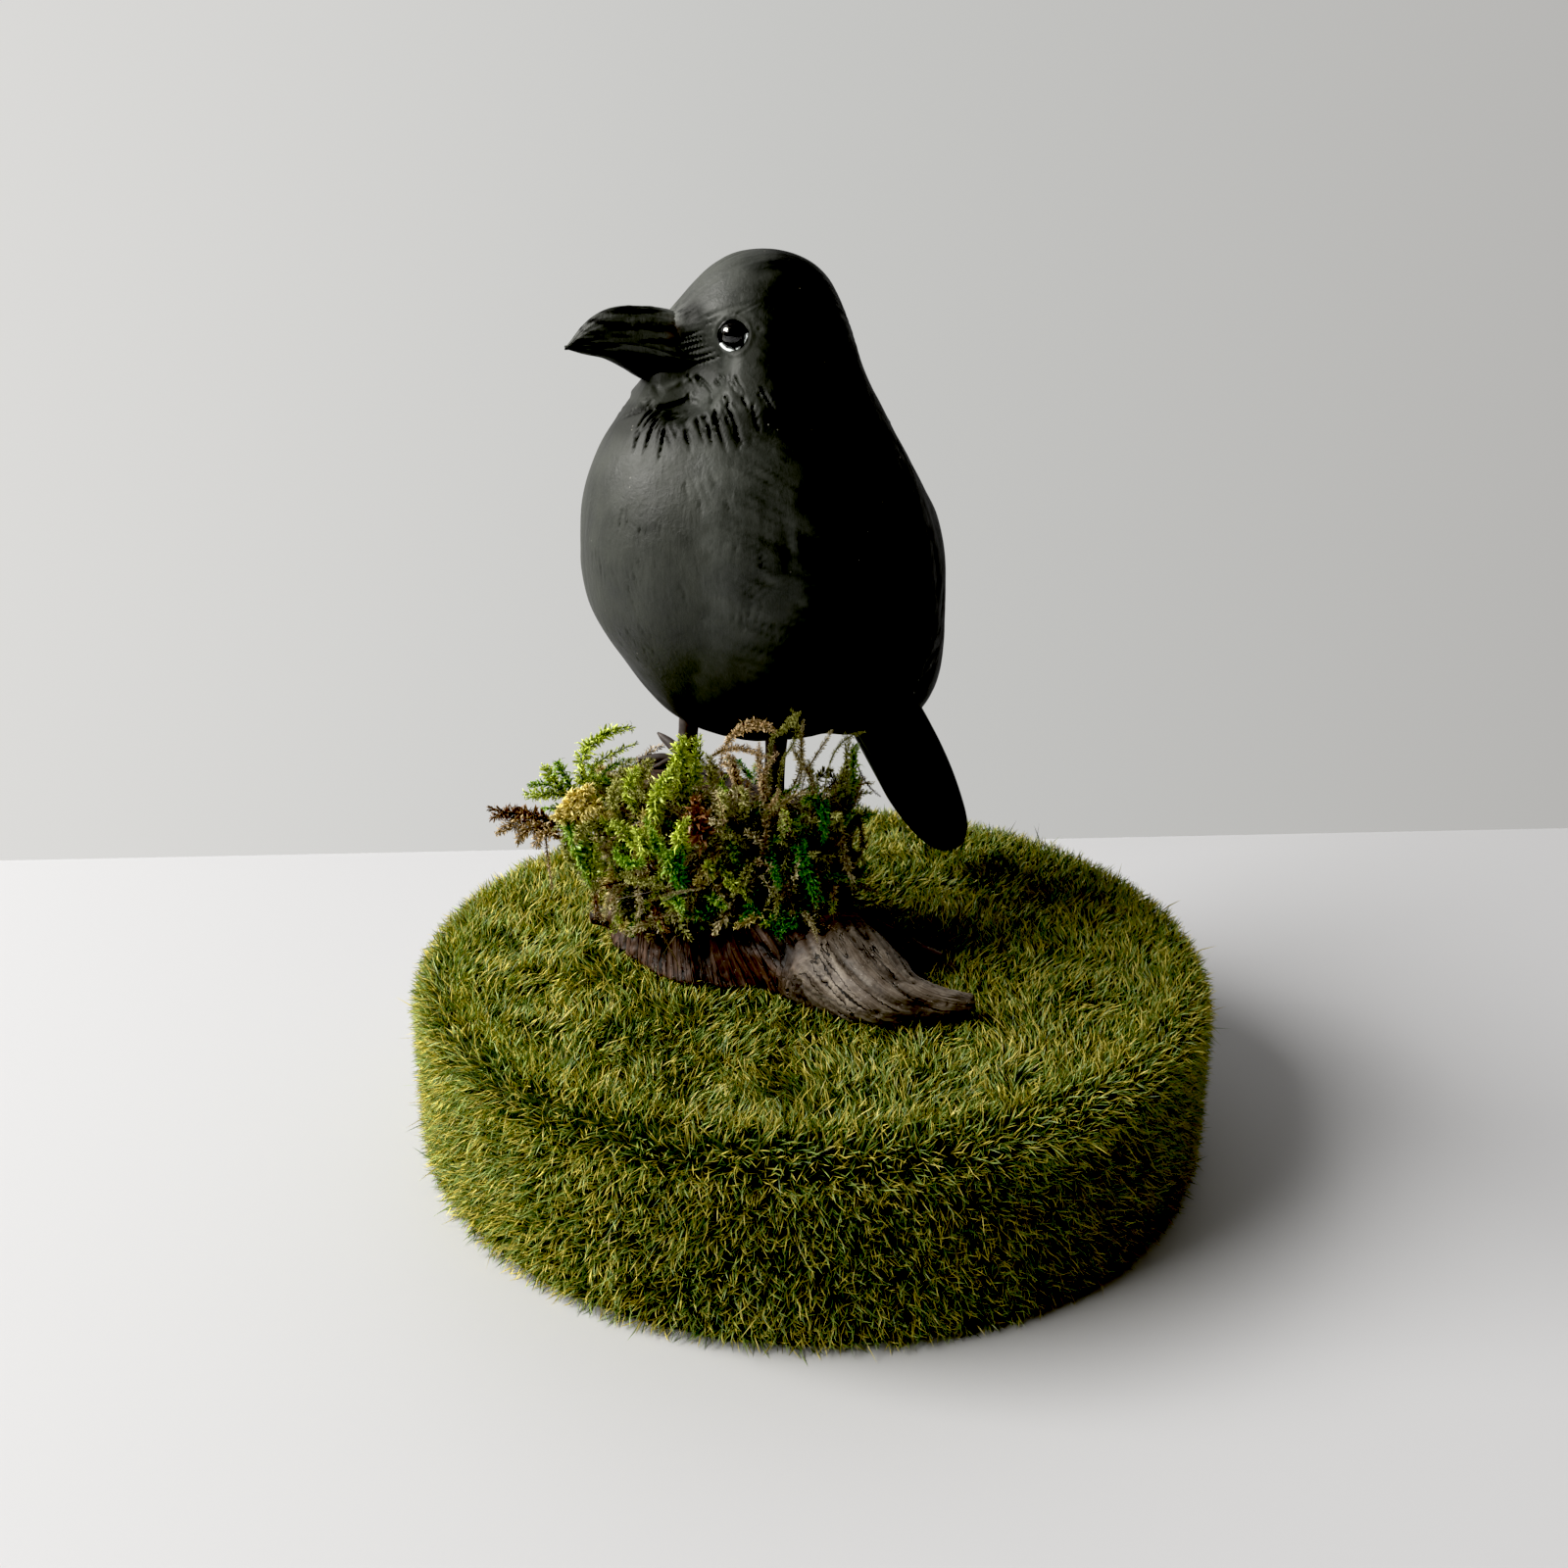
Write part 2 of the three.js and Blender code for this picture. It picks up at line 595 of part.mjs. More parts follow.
// Sprigs that show beyond the collar: the path of each and its thickest radius.
const SPRIGS = [
  { path: [[-25, -7, 43], [-28, -8, 49], [-26.5, -8, 54.5], [-22.5, -8, 56.5]], thick: 1.4 },
  { path: [[-24, -8, 45], [-26.5, -9, 51.5], [-21.5, -9, 55]], thick: 1.2 },
  { path: [[-25, -5, 43], [-30, -6, 46], [-32.5, -6, 50.5]], thick: 1.6 },
  { path: [[-26, -5, 42], [-31, -6, 45.5], [-35.5, -6, 47]], thick: 1.4 },
  { path: [[-25, -4, 41], [-32, -5, 42.5], [-37.5, -5, 44], [-40.5, -5, 43]], thick: 1.6 },
  { path: [[-15, -12.5, 45], [-15.5, -14, 51.5], [-14.5, -14, 56.6]], thick: 1.6 },
  {
    path: [
      [-11, -13, 46],
      [-10.6, -17.5, 56],
      [-7, -19, 60.3],
      [-2.5, -18.5, 60.6],
      [-1, -16, 56],
      [-0.5, -11, 46],
    ],
    thick: 1,
  },
  { path: [[1.5, -8, 41], [3.5, -9, 49.5], [5, -9, 55.5]], thick: 1.6 },
  { path: [[3, -6, 41], [6.5, -7, 45.8], [11, -7, 49.5]], thick: 0.7 },
  { path: [[3, -3, 38], [8.5, -5, 38.5]], thick: 1.3 },
];

function moss(legRooms) {
  const plump = (t) => 0.35 + 0.65 * Math.sin(Math.PI * (0.15 + 0.72 * t));
  const sprigs = SPRIGS.map(({ path, thick }) => (
    taperedRod(path, (t) => thick * plump(t), 5, path.length + 1)
  ));
  const core = stumpStub({ around: MOSS.around, levels: 2, grow: CLEARANCE + 0.2, carved: false });
  const rootRooms = ROOTS.map((root) => rootRod(root, 1.4 * CLEARANCE));
  return joined([mossCollar(), ...sprigs]).subtract(joined([core, ...rootRooms, ...legRooms]));
}

// The whole figurine

const crowSolid = crow();
const stumpSolid = stump();
const mossSolid = moss([leg("left", 1.3 * CLEARANCE), leg("right", 1.3 * CLEARANCE)]);

function fittedLeg(side) {
  const belowBelly = leg(side).subtract(crowSolid.translate([0, 0, -CLEARANCE]));
  return belowBelly.subtract(stumpSolid.translate([0, 0, CLEARANCE]));
}

const figurine = new THREE.Group();
figurine.add(
  meshOf("turf_base", turfBase(), TURF_GREEN),
  meshOf("stump", toGeometry(stumpSolid), BARK_CLAY),
  meshOf("moss", toGeometry(mossSolid), MOSS_GREEN),
  meshOf("crow", toGeometry(crowSolid), BLACK_CLAY),
  meshOf("leg_left", toGeometry(fittedLeg("left")), LEG_CLAY),
  meshOf("leg_right", toGeometry(fittedLeg("right")), LEG_CLAY),
  meshOf("eye_left", eyeBall(1, EYE.radius, 10, 7), GLASS),
  meshOf("eye_right", eyeBall(-1, EYE.radius, 10, 7), GLASS),
);

export default figurine;
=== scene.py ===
# %% [markdown]
# # A black clay crow on a mossy stump
# The object is a hand-made ornament 111 mm tall: a crow modelled in black polymer clay, with glass
# bead eyes, on a clay stump wrapped in dried moss, on a drum covered in a mat of nylon grass.
# Plain solids of its pieces come in first, as a frame. Every piece below is then worked out with
# numpy in millimetres, in the same place as its solid, and takes over from it in the picture.

# %% Load the frame
import math

import bpy
import numpy as np
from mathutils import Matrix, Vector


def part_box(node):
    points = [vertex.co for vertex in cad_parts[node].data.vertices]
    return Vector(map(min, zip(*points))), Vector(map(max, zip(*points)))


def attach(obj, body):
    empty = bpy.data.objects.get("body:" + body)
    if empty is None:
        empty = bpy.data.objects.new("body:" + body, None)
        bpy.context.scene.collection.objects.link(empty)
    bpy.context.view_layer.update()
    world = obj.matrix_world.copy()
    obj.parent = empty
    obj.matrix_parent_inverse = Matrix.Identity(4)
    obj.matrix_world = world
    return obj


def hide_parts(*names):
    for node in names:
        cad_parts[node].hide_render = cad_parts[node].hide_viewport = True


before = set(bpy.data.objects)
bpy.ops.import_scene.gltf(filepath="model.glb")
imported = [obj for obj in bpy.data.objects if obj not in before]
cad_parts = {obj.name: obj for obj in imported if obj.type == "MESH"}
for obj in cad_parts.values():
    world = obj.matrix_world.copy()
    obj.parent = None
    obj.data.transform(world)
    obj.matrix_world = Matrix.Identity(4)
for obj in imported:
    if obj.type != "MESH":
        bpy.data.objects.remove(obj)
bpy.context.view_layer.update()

print("solids:", sorted(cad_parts))

# %% [markdown]
# ## The camera and the room
# The photograph was taken from about 19 cm away, from just above the crow's head, looking down by
# twenty degrees. So near, the drum's front edge looks much larger than its back edge, and only a
# camera at the same distance with the same field of view gives that. The room is plain: a pale
# table against a pale wall, one wide window high on the left, and a dim room in front.

# %% Camera
PHOTO_SIDE = 1600
FOCAL_LENGTH_IN_PIXELS = 1604
SENSOR_WIDTH = 36.0
CAMERA_PLACE = (-0.0036, -0.1882, 0.1142)
CAMERA_DOWNWARD = 19.86


def add_object(name, data):
    """A new object in the scene, at the origin."""
    made = bpy.data.objects.new(name, data)
    bpy.context.scene.collection.objects.link(made)
    return made


def place_camera():
    """A camera whose lens is as long as its sensor is wide, times focal length over photo side."""
    lens = bpy.data.cameras.new("camera")
    lens.sensor_width = SENSOR_WIDTH
    lens.lens = SENSOR_WIDTH * FOCAL_LENGTH_IN_PIXELS / PHOTO_SIDE
    lens.clip_start = 0.005
    camera = add_object("camera", lens)
    camera.location = CAMERA_PLACE
    camera.rotation_euler = (math.radians(90 - CAMERA_DOWNWARD), 0, 0)
    bpy.context.scene.camera = camera
    return lens.lens


print("lens in millimetres:", round(place_camera(), 2))

# %% Lines of sight
MM = 0.001
EYE_POINT = np.array(CAMERA_PLACE) / MM


def line_of_sight(pixels):
    """The direction in which each pixel of the photograph looks: ahead + across * x + up * y."""
    pixels = np.asarray(pixels, float)
    across = (pixels[..., 0] - PHOTO_SIDE / 2) / FOCAL_LENGTH_IN_PIXELS
    upward = (PHOTO_SIDE / 2 - pixels[..., 1]) / FOCAL_LENGTH_IN_PIXELS
    down = math.radians(CAMERA_DOWNWARD)
    level = math.cos(down) + upward * math.sin(down)
    return np.stack([across, level, upward * math.cos(down) - math.sin(down)], -1)


def place_seen(pixels, depth):
    """Where a pixel's line of sight crosses the upright plane at a depth, its y in millimetres."""
    line = line_of_sight(pixels)
    return EYE_POINT + line * ((depth - EYE_POINT[1]) / line[..., 1])[..., None]


print("the photograph's middle, above the drum:", place_seen([800, 800], np.array(0.0)).round(1))

# %% Colours and nodes
def linear(hex_colour):
    """An sRGB hex colour as linear red, green and blue: ((c + 0.055) / 1.055) to the power 2.4."""
    value = int(hex_colour.lstrip("#"), 16)
    channels = [(value >> shift & 255) / 255 for shift in (16, 8, 0)]
    return [c / 12.92 if c <= 0.04045 else ((c + 0.055) / 1.055) ** 2.4 for c in channels]


def fill_inputs(tree, node, inputs):
    """Sets a node's inputs, given by name or by place, to numbers, hex colours or outputs."""
    for name, value in inputs.items() if isinstance(inputs, dict) else enumerate(inputs):
        if isinstance(value, bpy.types.NodeSocket):
            tree.links.new(value, node.inputs[name])
        else:
            plain = (*linear(value), 1.0) if isinstance(value, str) else value
            node.inputs[name].default_value = plain


def add_node(tree, kind, inputs=(), output=0, stops=(), **settings):
    """Adds a node with its settings and links, and a ramp's (place, colour) stops: one output."""
    node = tree.nodes.new("ShaderNode" + kind)
    for name, value in settings.items():
        setattr(node, name, value)
    for _ in stops[2:]:
        node.color_ramp.elements.new(0.5)
    for (place, colour), element in zip(stops, node.color_ramp.elements if stops else ()):
        element.position, element.color = place, (*linear(colour), 1.0)
    fill_inputs(tree, node, inputs)
    return node.outputs[output]


def new_material(name):
    """A material with a Principled surface: the material, its tree and the surface node."""
    material = bpy.data.materials.new(name)
    material.use_nodes = True
    return material, material.node_tree, material.node_tree.nodes["Principled BSDF"]


print("middle grey as light:", round(linear("#808080")[0], 3))

# %% [markdown]
# ### Table, window and wall
# The table top is painted board, matt enough to show no reflection. The wall is far out of focus,
# so it is only a colour; its darkening to the right is painted light, the window's light falling
# off across it. The photograph is printed with its darkest shades as black, which hides the crow's
# far side, and the view settings do the same.

# %% Table
TABLE_WHITE = "#d0d1d5"
TABLE_REACH = 3.0
TABLE_BACK_LEFT, TABLE_BACK_RIGHT = (-0.151, 0.0855), (0.152, 0.1022)


def make_table():
    """A flat table whose back edge runs through two places, where it meets the wall."""
    (x0, y0), (x1, y1) = TABLE_BACK_LEFT, TABLE_BACK_RIGHT
    slope = (y1 - y0) / (x1 - x0)
    back = [(x, y0 + slope * (x - x0), 0) for x in (TABLE_REACH, -TABLE_REACH)]
    front = [(-TABLE_REACH, -TABLE_REACH, 0), (TABLE_REACH, -TABLE_REACH, 0)]
    mesh = bpy.data.meshes.new("table")
    mesh.from_pydata(front + back, [], [(0, 1, 2, 3)])
    material, tree, surface = new_material("painted table top")
    fill_inputs(tree, surface, {"Base Color": TABLE_WHITE, "Roughness": 0.5})
    mesh.materials.append(material)
    add_object("table", mesh)


make_table()
print("table:", 2 * TABLE_REACH, "m wide")

# %% Window
WINDOW = {"turn": 189, "height": 42, "distance": 1.3, "wide": 1.1, "high": 0.56, "watts": 27.5,
          "colour": "#fffdf8"}


def make_window():
    """A lamp as wide as the window looks from the table, and as high in the sky."""
    lamp = bpy.data.lights.new("window", "AREA")
    lamp.shape = "RECTANGLE"
    lamp.size, lamp.size_y = WINDOW["high"], WINDOW["wide"]
    lamp.energy = WINDOW["watts"]
    lamp.color = linear(WINDOW["colour"])
    window = add_object("window", lamp)
    turn, height = math.radians(WINDOW["turn"]), math.radians(WINDOW["height"])
    level = math.cos(height)
    direction = (math.cos(turn) * level, math.sin(turn) * level, math.sin(height))
    window.location = [WINDOW["distance"] * part for part in direction]
    window.rotation_euler = (0, math.pi / 2 - height, turn)


make_window()
print("lit by a window", WINDOW["distance"], "m away")

# %% Wall and print
# The wall's colour, painted darker to the right as the window's light falls off across it.
WALL = [(0.0, "#dfdedc"), (0.5, "#c8c8c6"), (1.0, "#b6b5b3")]
DIM_ROOM = "#3a3227"
DEEPEST_BLACK = 0.024


def light_walls():
    """The wall is pale, and darker towards the right: painted light, the window's light falling off
    across it. Light only comes from the wall's side.
    """
    world = bpy.data.worlds.new("pale wall and dim room")
    world.use_nodes = True
    tree = world.node_tree
    direction = add_node(tree, "TexCoord", output="Generated")
    rightward = add_node(tree, "SeparateXYZ", [direction], "X")
    backward = rightward.node.outputs["Y"]
    wall = add_node(tree, "ValToRGB", [add_node(tree, "MapRange", [rightward, -0.5, 0.5])],
                    stops=WALL)
    backward = add_node(tree, "MapRange", [backward, -0.1, 0.6])
    seen = add_node(tree, "LightPath", output="Is Camera Ray")
    share = add_node(tree, "Math", [seen, backward], operation="MAXIMUM")
    room = add_node(tree, "Mix", {0: share, 6: DIM_ROOM, 7: wall}, 2, data_type="RGBA")
    fill_inputs(tree, tree.nodes["Background"], {"Color": room})
    bpy.context.scene.world = world


def print_with_deep_blacks():
    """The photograph is printed with its darkest shades as black: (light - black) / (1 - black)."""
    view = bpy.context.scene.view_settings
    view.view_transform = "Standard"
    view.use_curve_mapping = True
    view.curve_mapping.black_level = [DEEPEST_BLACK] * 3
    view.curve_mapping.update()


light_walls()
print_with_deep_blacks()
print("everything below a light of", DEEPEST_BLACK, "prints black")

# %% [markdown]
# ## Tools for making surfaces
# Each piece is a grid of points: rings of points, one ring after another, joined by quads, with a
# fan of triangles over each end. A grid is easy to work out as whole arrays, and it stays closed.
# Fine carving then moves each point along its own normal.

# %% Small formulas
UP = np.array([0, 0, 1.0])


def unit(vectors):
    """Vectors divided by their own lengths."""
    return vectors / np.maximum(np.linalg.norm(vectors, axis=-1, keepdims=True), 1e-12)


def gap(points, place):
    """How far points are from a place, or each from its own."""
    return np.linalg.norm(points - place, axis=-1)


def together(*parts):
    """The x, y and z parts of places as one array."""
    return np.stack(np.broadcast_arrays(*parts), -1)


def full_turn(count):
    """Evenly spaced angles once round, in radians."""
    return np.linspace(0, 2 * np.pi, count, endpoint=False)


def smoothstep(x, low, high):
    """0 below low, 1 above high, and 3t² - 2t³ between them."""
    t = np.clip((x - low) / (high - low), 0, 1)
    return t * t * (3 - 2 * t)


def fall(x, low, high):
    """1 below low and 0 above high: one minus the smooth step."""
    return 1 - smoothstep(x, low, high)


def bell(x, width):
    """1 at 0 and falling to both sides: exp(-(x / width)²)."""
    return np.exp(-np.square(x / width))


print("a bell at its own width:", round(float(bell(1.0, 1.0)), 3))

# %% Surfaces from grids
def ring_faces(rings, around):
    """Quads between neighbouring rings, and a fan of triangles to a pole point at each end."""
    ring, place = np.meshgrid(np.arange(rings - 1), np.arange(around), indexing="ij")
    a = ring * around + place
    b = ring * around + (place + 1) % around
    quads = np.stack([a, b, b + around, a + around], -1).reshape(-1, 4)
    first = np.arange(around)
    following = (first + 1) % around
    last = (rings - 1) * around
    low_fan = together(following, first, np.full(around, rings * around))
    high_fan = together(first + last, following + last, np.full(around, rings * around + 1))
    return quads, np.concatenate([low_fan, high_fan])


def closed_grid(grid):
    """Points and faces of a closed skin: a grid[ring, place] and the middles of its end rings."""
    rings, around = grid.shape[:2]
    poles = np.stack([grid[0].mean(0), grid[-1].mean(0)])
    quads, fans = ring_faces(rings, around)
    points = np.concatenate([grid.reshape(-1, 3), poles])
    a, b, c = (points[fans[:, k]] for k in range(3))
    q, r, s = (points[quads[:, k]] for k in (0, 1, 2))
    volume = np.einsum("ij,ij->", a, np.cross(b, c)) + np.einsum("ij,ij->", q, np.cross(r, s)) * 2
    if volume < 0:
        quads, fans = quads[:, ::-1], fans[:, ::-1]
    return points, quads, fans


def grid_normals(grid):
    """Outward unit normals of a grid that is closed around: cross products of its two tangents."""
    around = np.roll(grid, -1, axis=1) - np.roll(grid, 1, axis=1)
    along = np.gradient(grid, axis=0)
    normals = unit(np.cross(around, along))
    middle = grid.mean((0, 1))
    return normals * np.sign(np.einsum("ijk,ijk->", normals, grid - middle))


def make_mesh(name, points, faces, smooth=True):
    """A mesh from points in millimetres and arrays of faces, one array for each corner count."""
    mesh = bpy.data.meshes.new(name)
    corners = np.concatenate([face.ravel() for face in faces]).astype(np.int32)
    sizes = np.concatenate([np.full(len(face), face.shape[1]) for face in faces])
    starts = np.concatenate([[0], np.cumsum(sizes)[:-1]]).astype(np.int32)
    mesh.vertices.add(len(points))
    mesh.vertices.foreach_set("co", (points * MM).astype(np.float32).ravel())
    mesh.loops.add(len(corners))
    mesh.loops.foreach_set("vertex_index", corners)
    mesh.polygons.add(len(sizes))
    mesh.polygons.foreach_set("loop_start", starts)
    mesh.polygons.foreach_set("use_smooth", np.full(len(sizes), smooth))
    mesh.update(calc_edges=True)
    mesh.validate()
    return mesh


def point_vectors(items, field):
    """One stored vector of each point of a mesh, as an array."""
    flat = np.empty(len(items) * 3, np.float32)
    items.foreach_get(field, flat)
    return flat.reshape(-1, 3).astype(float)


def mesh_points(mesh):
    """The points of a mesh, in millimetres."""
    return point_vectors(mesh.vertices, "co") / MM


def move_points(mesh, points):
    """Puts the points of a mesh at new places, in millimetres."""
    mesh.vertices.foreach_set("co", (points * MM).astype(np.float32).ravel())
    mesh.update()


def paint(mesh, name, values, is_place=False):
    """Stores one number, one linear colour or one place for each point of the mesh."""
    layers, kind, field = mesh.attributes, "FLOAT", "value"
    if is_place:
        kind, field = "FLOAT_VECTOR", "vector"
    elif values.ndim > 1:
        layers, kind, field = mesh.color_attributes, "FLOAT_COLOR", "color"
        values = np.concatenate([values, np.ones((len(values), 1))], 1)
    layer = layers.new(name, kind, "POINT")
    layer.data.foreach_set(field, values.astype(np.float32).ravel())


def skin_mesh(name, grids, shrink=1):
    """One mesh of closed skins, each from its own grid, with all their quads first."""
    skins = [closed_grid(grid) for grid in grids]
    offsets = np.cumsum([0] + [len(points) for points, _, _ in skins[:-1]])
    faces = [np.concatenate([skin[kind] + offset for skin, offset in zip(skins, offsets)])
             for kind in (1, 2)]
    return make_mesh(name, np.concatenate([skin[0] for skin in skins]) / shrink, faces)


def show_piece(name, mesh, material, stands_for):
    """Puts a mesh in the scene, riding on the figurine and standing for a solid of the frame."""
    piece = add_object(name, mesh)
    mesh.materials.clear()
    mesh.materials.append(material)
    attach(piece, "root")
    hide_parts(stands_for)
    triangles = sum(len(face.vertices) - 2 for face in mesh.polygons)
    print(f"{name}: {triangles} triangles")


# %% Smooth random values and smooth paths
NOISE_TABLE = np.random.default_rng(7).uniform(-1, 1, (32, 32, 32))


def wander(points, shift=0):
    """Smooth random values from -1 to 1 with one lattice step for each unit of the points.

    The eight table values at the corners of a point's cell are blended with 3t² - 2t³ weights.
    """
    cell = np.floor(points).astype(int)
    t = points - cell
    t = t * t * (3 - 2 * t)
    total = np.zeros(points.shape[:-1])
    for corner in np.ndindex(2, 2, 2):
        index = (cell + corner + shift) % 32
        weight = np.prod(np.where(corner, t, 1 - t), axis=-1)
        total += weight * NOISE_TABLE[index[..., 0], index[..., 1], index[..., 2]]
    return total


def wander_on(x, y, shift):
    """The same random values over a surface with two coordinates."""
    return wander(together(x, y, 0), shift)


def through(values, t):
    """A smooth curve through an evenly spaced list, read at t from 0 to 1 (Catmull-Rom)."""
    values = np.asarray(values, float)
    padded = np.concatenate([[2 * values[0] - values[1]], values, [2 * values[-1] - values[-2]]])
    place = np.clip(np.asarray(t, float), 0, 1) * (len(values) - 1)
    k = np.minimum(place.astype(int), len(values) - 2)
    u = place - k
    if values.ndim > 1:
        u = u[..., None]
    a, b, c, d = (padded[k + step] for step in range(4))
    bend = (2 * a - 5 * b + 4 * c - d) * u ** 2 + (3 * b - a - 3 * c + d) * u ** 3
    return b + 0.5 * ((c - a) * u + bend)


def rod(path, radii, around, along):
    """Rings carried along a smooth path, each square to it. radii run from the start to the end."""
    t = np.linspace(0, 1, along)
    centres = through(path, t)
    tangents = unit(np.gradient(centres, axis=0))
    steady = [0.31, 0.23, 0.92] if abs(tangents[:, 2]).mean() < 0.8 else [1, 0.2, 0.1]
    sides = unit(np.cross(tangents, steady))
    rises = unit(np.cross(sides, tangents))
    turn = full_turn(around)
    size = through(radii, t)[:, None, None]
    across = np.cos(turn)[None, :, None] * sides[:, None]
    upward = np.sin(turn)[None, :, None] * rises[:, None]
    return centres[:, None] + size * (across + upward)


print("noise in the middle of its first cell:", round(wander(np.array([[0.5, 0.5, 0.5]]))[0], 3))

# %% [markdown]
# ## The crow's form
# A maker rolls lumps of clay, presses them together and strokes the joins smooth. The same thing
# is done here with numbers: six ellipsoids (breast, back, belly, rump, neck and skull), each with a
# distance to its skin, joined by a smooth minimum that leaves a soft join 5 mm wide. The skin is
# then felt from inside: from a point on a spine, every direction is followed until the distance
# turns positive. That keeps the points on neat rings, which a surface net would not.

# %% The lumps of clay
STAND = np.array([-7.2, 0.0])
BODY_HEADING = 222
HEAD_HEADING = 199
BLEND = 5
# Each lump: millimetres ahead and up, half sizes ahead, left and up, and its nose's tip in degrees.
CLAY = {
    "breast": (0.9, 78.5, (20.8, 18.6, 21.8), 22.5),
    "back": (-8.3, 71.3, (19.1, 16.5, 18.7), 25.5),
    "belly": (-0.9, 63, (13.8, 13.6, 9.2), 0),
    "rump": (-16.9, 60.6, (12.7, 11.2, 10.4), 37),
    "neck": (-1, 91.7, (12.8, 11.9, 11.7), 40),
    "skull": (-1.4, 101.1, (10.1, 9.2, 9.7), 0),
}
# The beak's root is wrapped in a little of the same clay, and two thumbs have pressed the face flat
# between the beak and the eyes: places ahead of, beside and above the skull's middle.
MUZZLE = {"ahead": 7.6, "up": -1.2, "half": (4.2, 3.4, 3.2)}
THUMBS = {"ahead": 12.4, "beside": 8.4, "up": -1.3, "half": (5.5, 5.2, 6.4), "blend": 2.0}


def axes_of(heading, tip=0.0):
    """Unit vectors ahead, left and up for a heading and an upward tip in degrees."""
    turn, lift = math.radians(heading), math.radians(tip)
    left = np.array([-math.sin(turn), math.cos(turn), 0])
    level = np.array([math.cos(turn), math.sin(turn), 0])
    ahead = level * math.cos(lift) + UP * math.sin(lift)
    return np.stack([ahead, left, np.cross(ahead, left)])


BODY = axes_of(BODY_HEADING)
HEAD = axes_of(HEAD_HEADING)


def body_point(ahead, left, up):
    """A place given in millimetres ahead and left of where the crow stands, and above the table."""
    ahead, left, up = np.broadcast_arrays(ahead, left, up)
    offset = ahead[..., None] * BODY[0] + left[..., None] * BODY[1]
    return np.array([*STAND, 0.0]) + offset + up[..., None] * UP


SKULL = body_point(CLAY["skull"][0], 0.0, CLAY["skull"][1])


def head_point(ahead, left, up):
    """A place given in millimetres ahead, left and up from the middle of the skull."""
    return SKULL + together(ahead, left, up) @ HEAD


def from_skull(points):
    """How far points lie ahead, left and up from the middle of the skull, as three arrays."""
    return np.moveaxis((points - SKULL) @ HEAD.T, -1, 0)


def round_body(points, axis_ahead):
    """Angles about an upright axis through the body, in radians from straight ahead."""
    local = (points - body_point(axis_ahead, 0.0, 0.0)) @ BODY.T
    return np.arctan2(local[..., 1], local[..., 0])


def lump_distance(points, centre, axes, half):
    """About how far points are from an ellipsoid: k(k - 1)/g, k its level and g its slope."""
    local = (points - centre) @ axes.T
    level = np.linalg.norm(local / half, axis=-1)
    slope = np.linalg.norm(local / np.square(half), axis=-1)
    return level * (level - 1) / np.maximum(slope, 1e-9)


def soft_min(a, b, blend=BLEND):
    """The smaller of two distances, rounded where they are within the blend of each other."""
    mix = np.clip(0.5 + 0.5 * (b - a) / blend, 0, 1)
    return b + (a - b) * mix - blend * mix * (1 - mix)


def clay_distance(points):
    """The soft minimum of all lumps and the muzzle, less the thumbs' dents: negative inside."""
    total = None
    for name, (ahead, up, half, tip) in CLAY.items():
        axes = axes_of(HEAD_HEADING if name == "skull" else BODY_HEADING, tip)
        near = lump_distance(points, body_point(float(ahead), 0.0, float(up)), axes, np.array(half))
        total = near if total is None else soft_min(total, near)
    root = head_point(MUZZLE["ahead"], 0.0, MUZZLE["up"])
    total = soft_min(total, lump_distance(points, root, HEAD, np.array(MUZZLE["half"])))
    for side in (1, -1):
        thumb = head_point(THUMBS["ahead"], THUMBS["beside"] * side, THUMBS["up"])
        pressed = lump_distance(points, thumb, HEAD, np.array(THUMBS["half"]))
        total = -soft_min(-total, pressed, THUMBS["blend"])
    return total


def reach_skin(origins, directions):
    """How far each direction runs inside the clay, found by halving the interval 20 times."""
    inside = np.zeros(np.broadcast_shapes(origins.shape, directions.shape)[:-1])
    outside = np.full(inside.shape, 45.0)
    for _ in range(20):
        half = (inside + outside) / 2
        within = clay_distance(origins + directions * half[..., None]) < 0
        inside = np.where(within, half, inside)
        outside = np.where(within, outside, half)
    return inside


def skin_places(axis_ahead, angles, heights):
    """Where level lines at angles in degrees from straight ahead leave the clay, and their way."""
    turn = np.radians(np.asarray(angles, float))[..., None]
    outward = BODY[0] * np.cos(turn) + BODY[1] * np.sin(turn)
    ahead = np.full(outward.shape[:-1], float(axis_ahead))
    origins = body_point(ahead, 0.0, np.asarray(heights, float))
    return origins + outward * reach_skin(origins, outward)[..., None], outward


def skin_seen(pixels):
    """Where lines of sight meet the clay: from 110 mm on, 50 steps of 0.8 of the distance left."""
    lines = unit(line_of_sight(pixels))
    places = EYE_POINT + lines * 110
    for _ in range(50):
        places = places + lines * 0.8 * clay_distance(places)[..., None]
    return places


print("breast radius:", round(float(reach_skin(body_point(0.0, 0.0, 78.0), BODY[0])), 2), "mm")

# %% [markdown]
# ### Folded wings
# Each wing is one soft form: its edge runs down the flank, turns at a knee and sweeps back to the
# tip. A maker draws it with the side of a tool, which leaves a shallow valley in front of the edge
# and the wing standing proud behind it. The valley fades out forwards over the breast.

# %% Wing edge
WING = {"front_angle": 59, "knee": 71, "lean": 8, "sweep": 75, "drop": 13.6}
VALLEY = {"step": 0.8, "edge": 2.0, "width": 7, "low": 54, "high": 88, "fade": 9}
LOW_AXIS = -4.0
HIGH_AXIS = -1.4


def wing_edge(height):
    """The wing edge's angle from straight ahead: it leans above the knee and sweeps back below."""
    drop = (WING["knee"] - height) / WING["drop"]
    return WING["front_angle"] + np.where(drop > 0, WING["sweep"] * drop ** 2, WING["lean"] * drop)


def past_wing_edge(points):
    """Millimetres past the wing edge, measured level round the body: negative in front of it."""
    angle = np.abs(np.degrees(round_body(points, LOW_AXIS)))
    distance = gap(points[..., :2], body_point(LOW_AXIS, 0.0, 0.0)[:2])
    return np.radians(angle - wing_edge(points[..., 2])) * distance


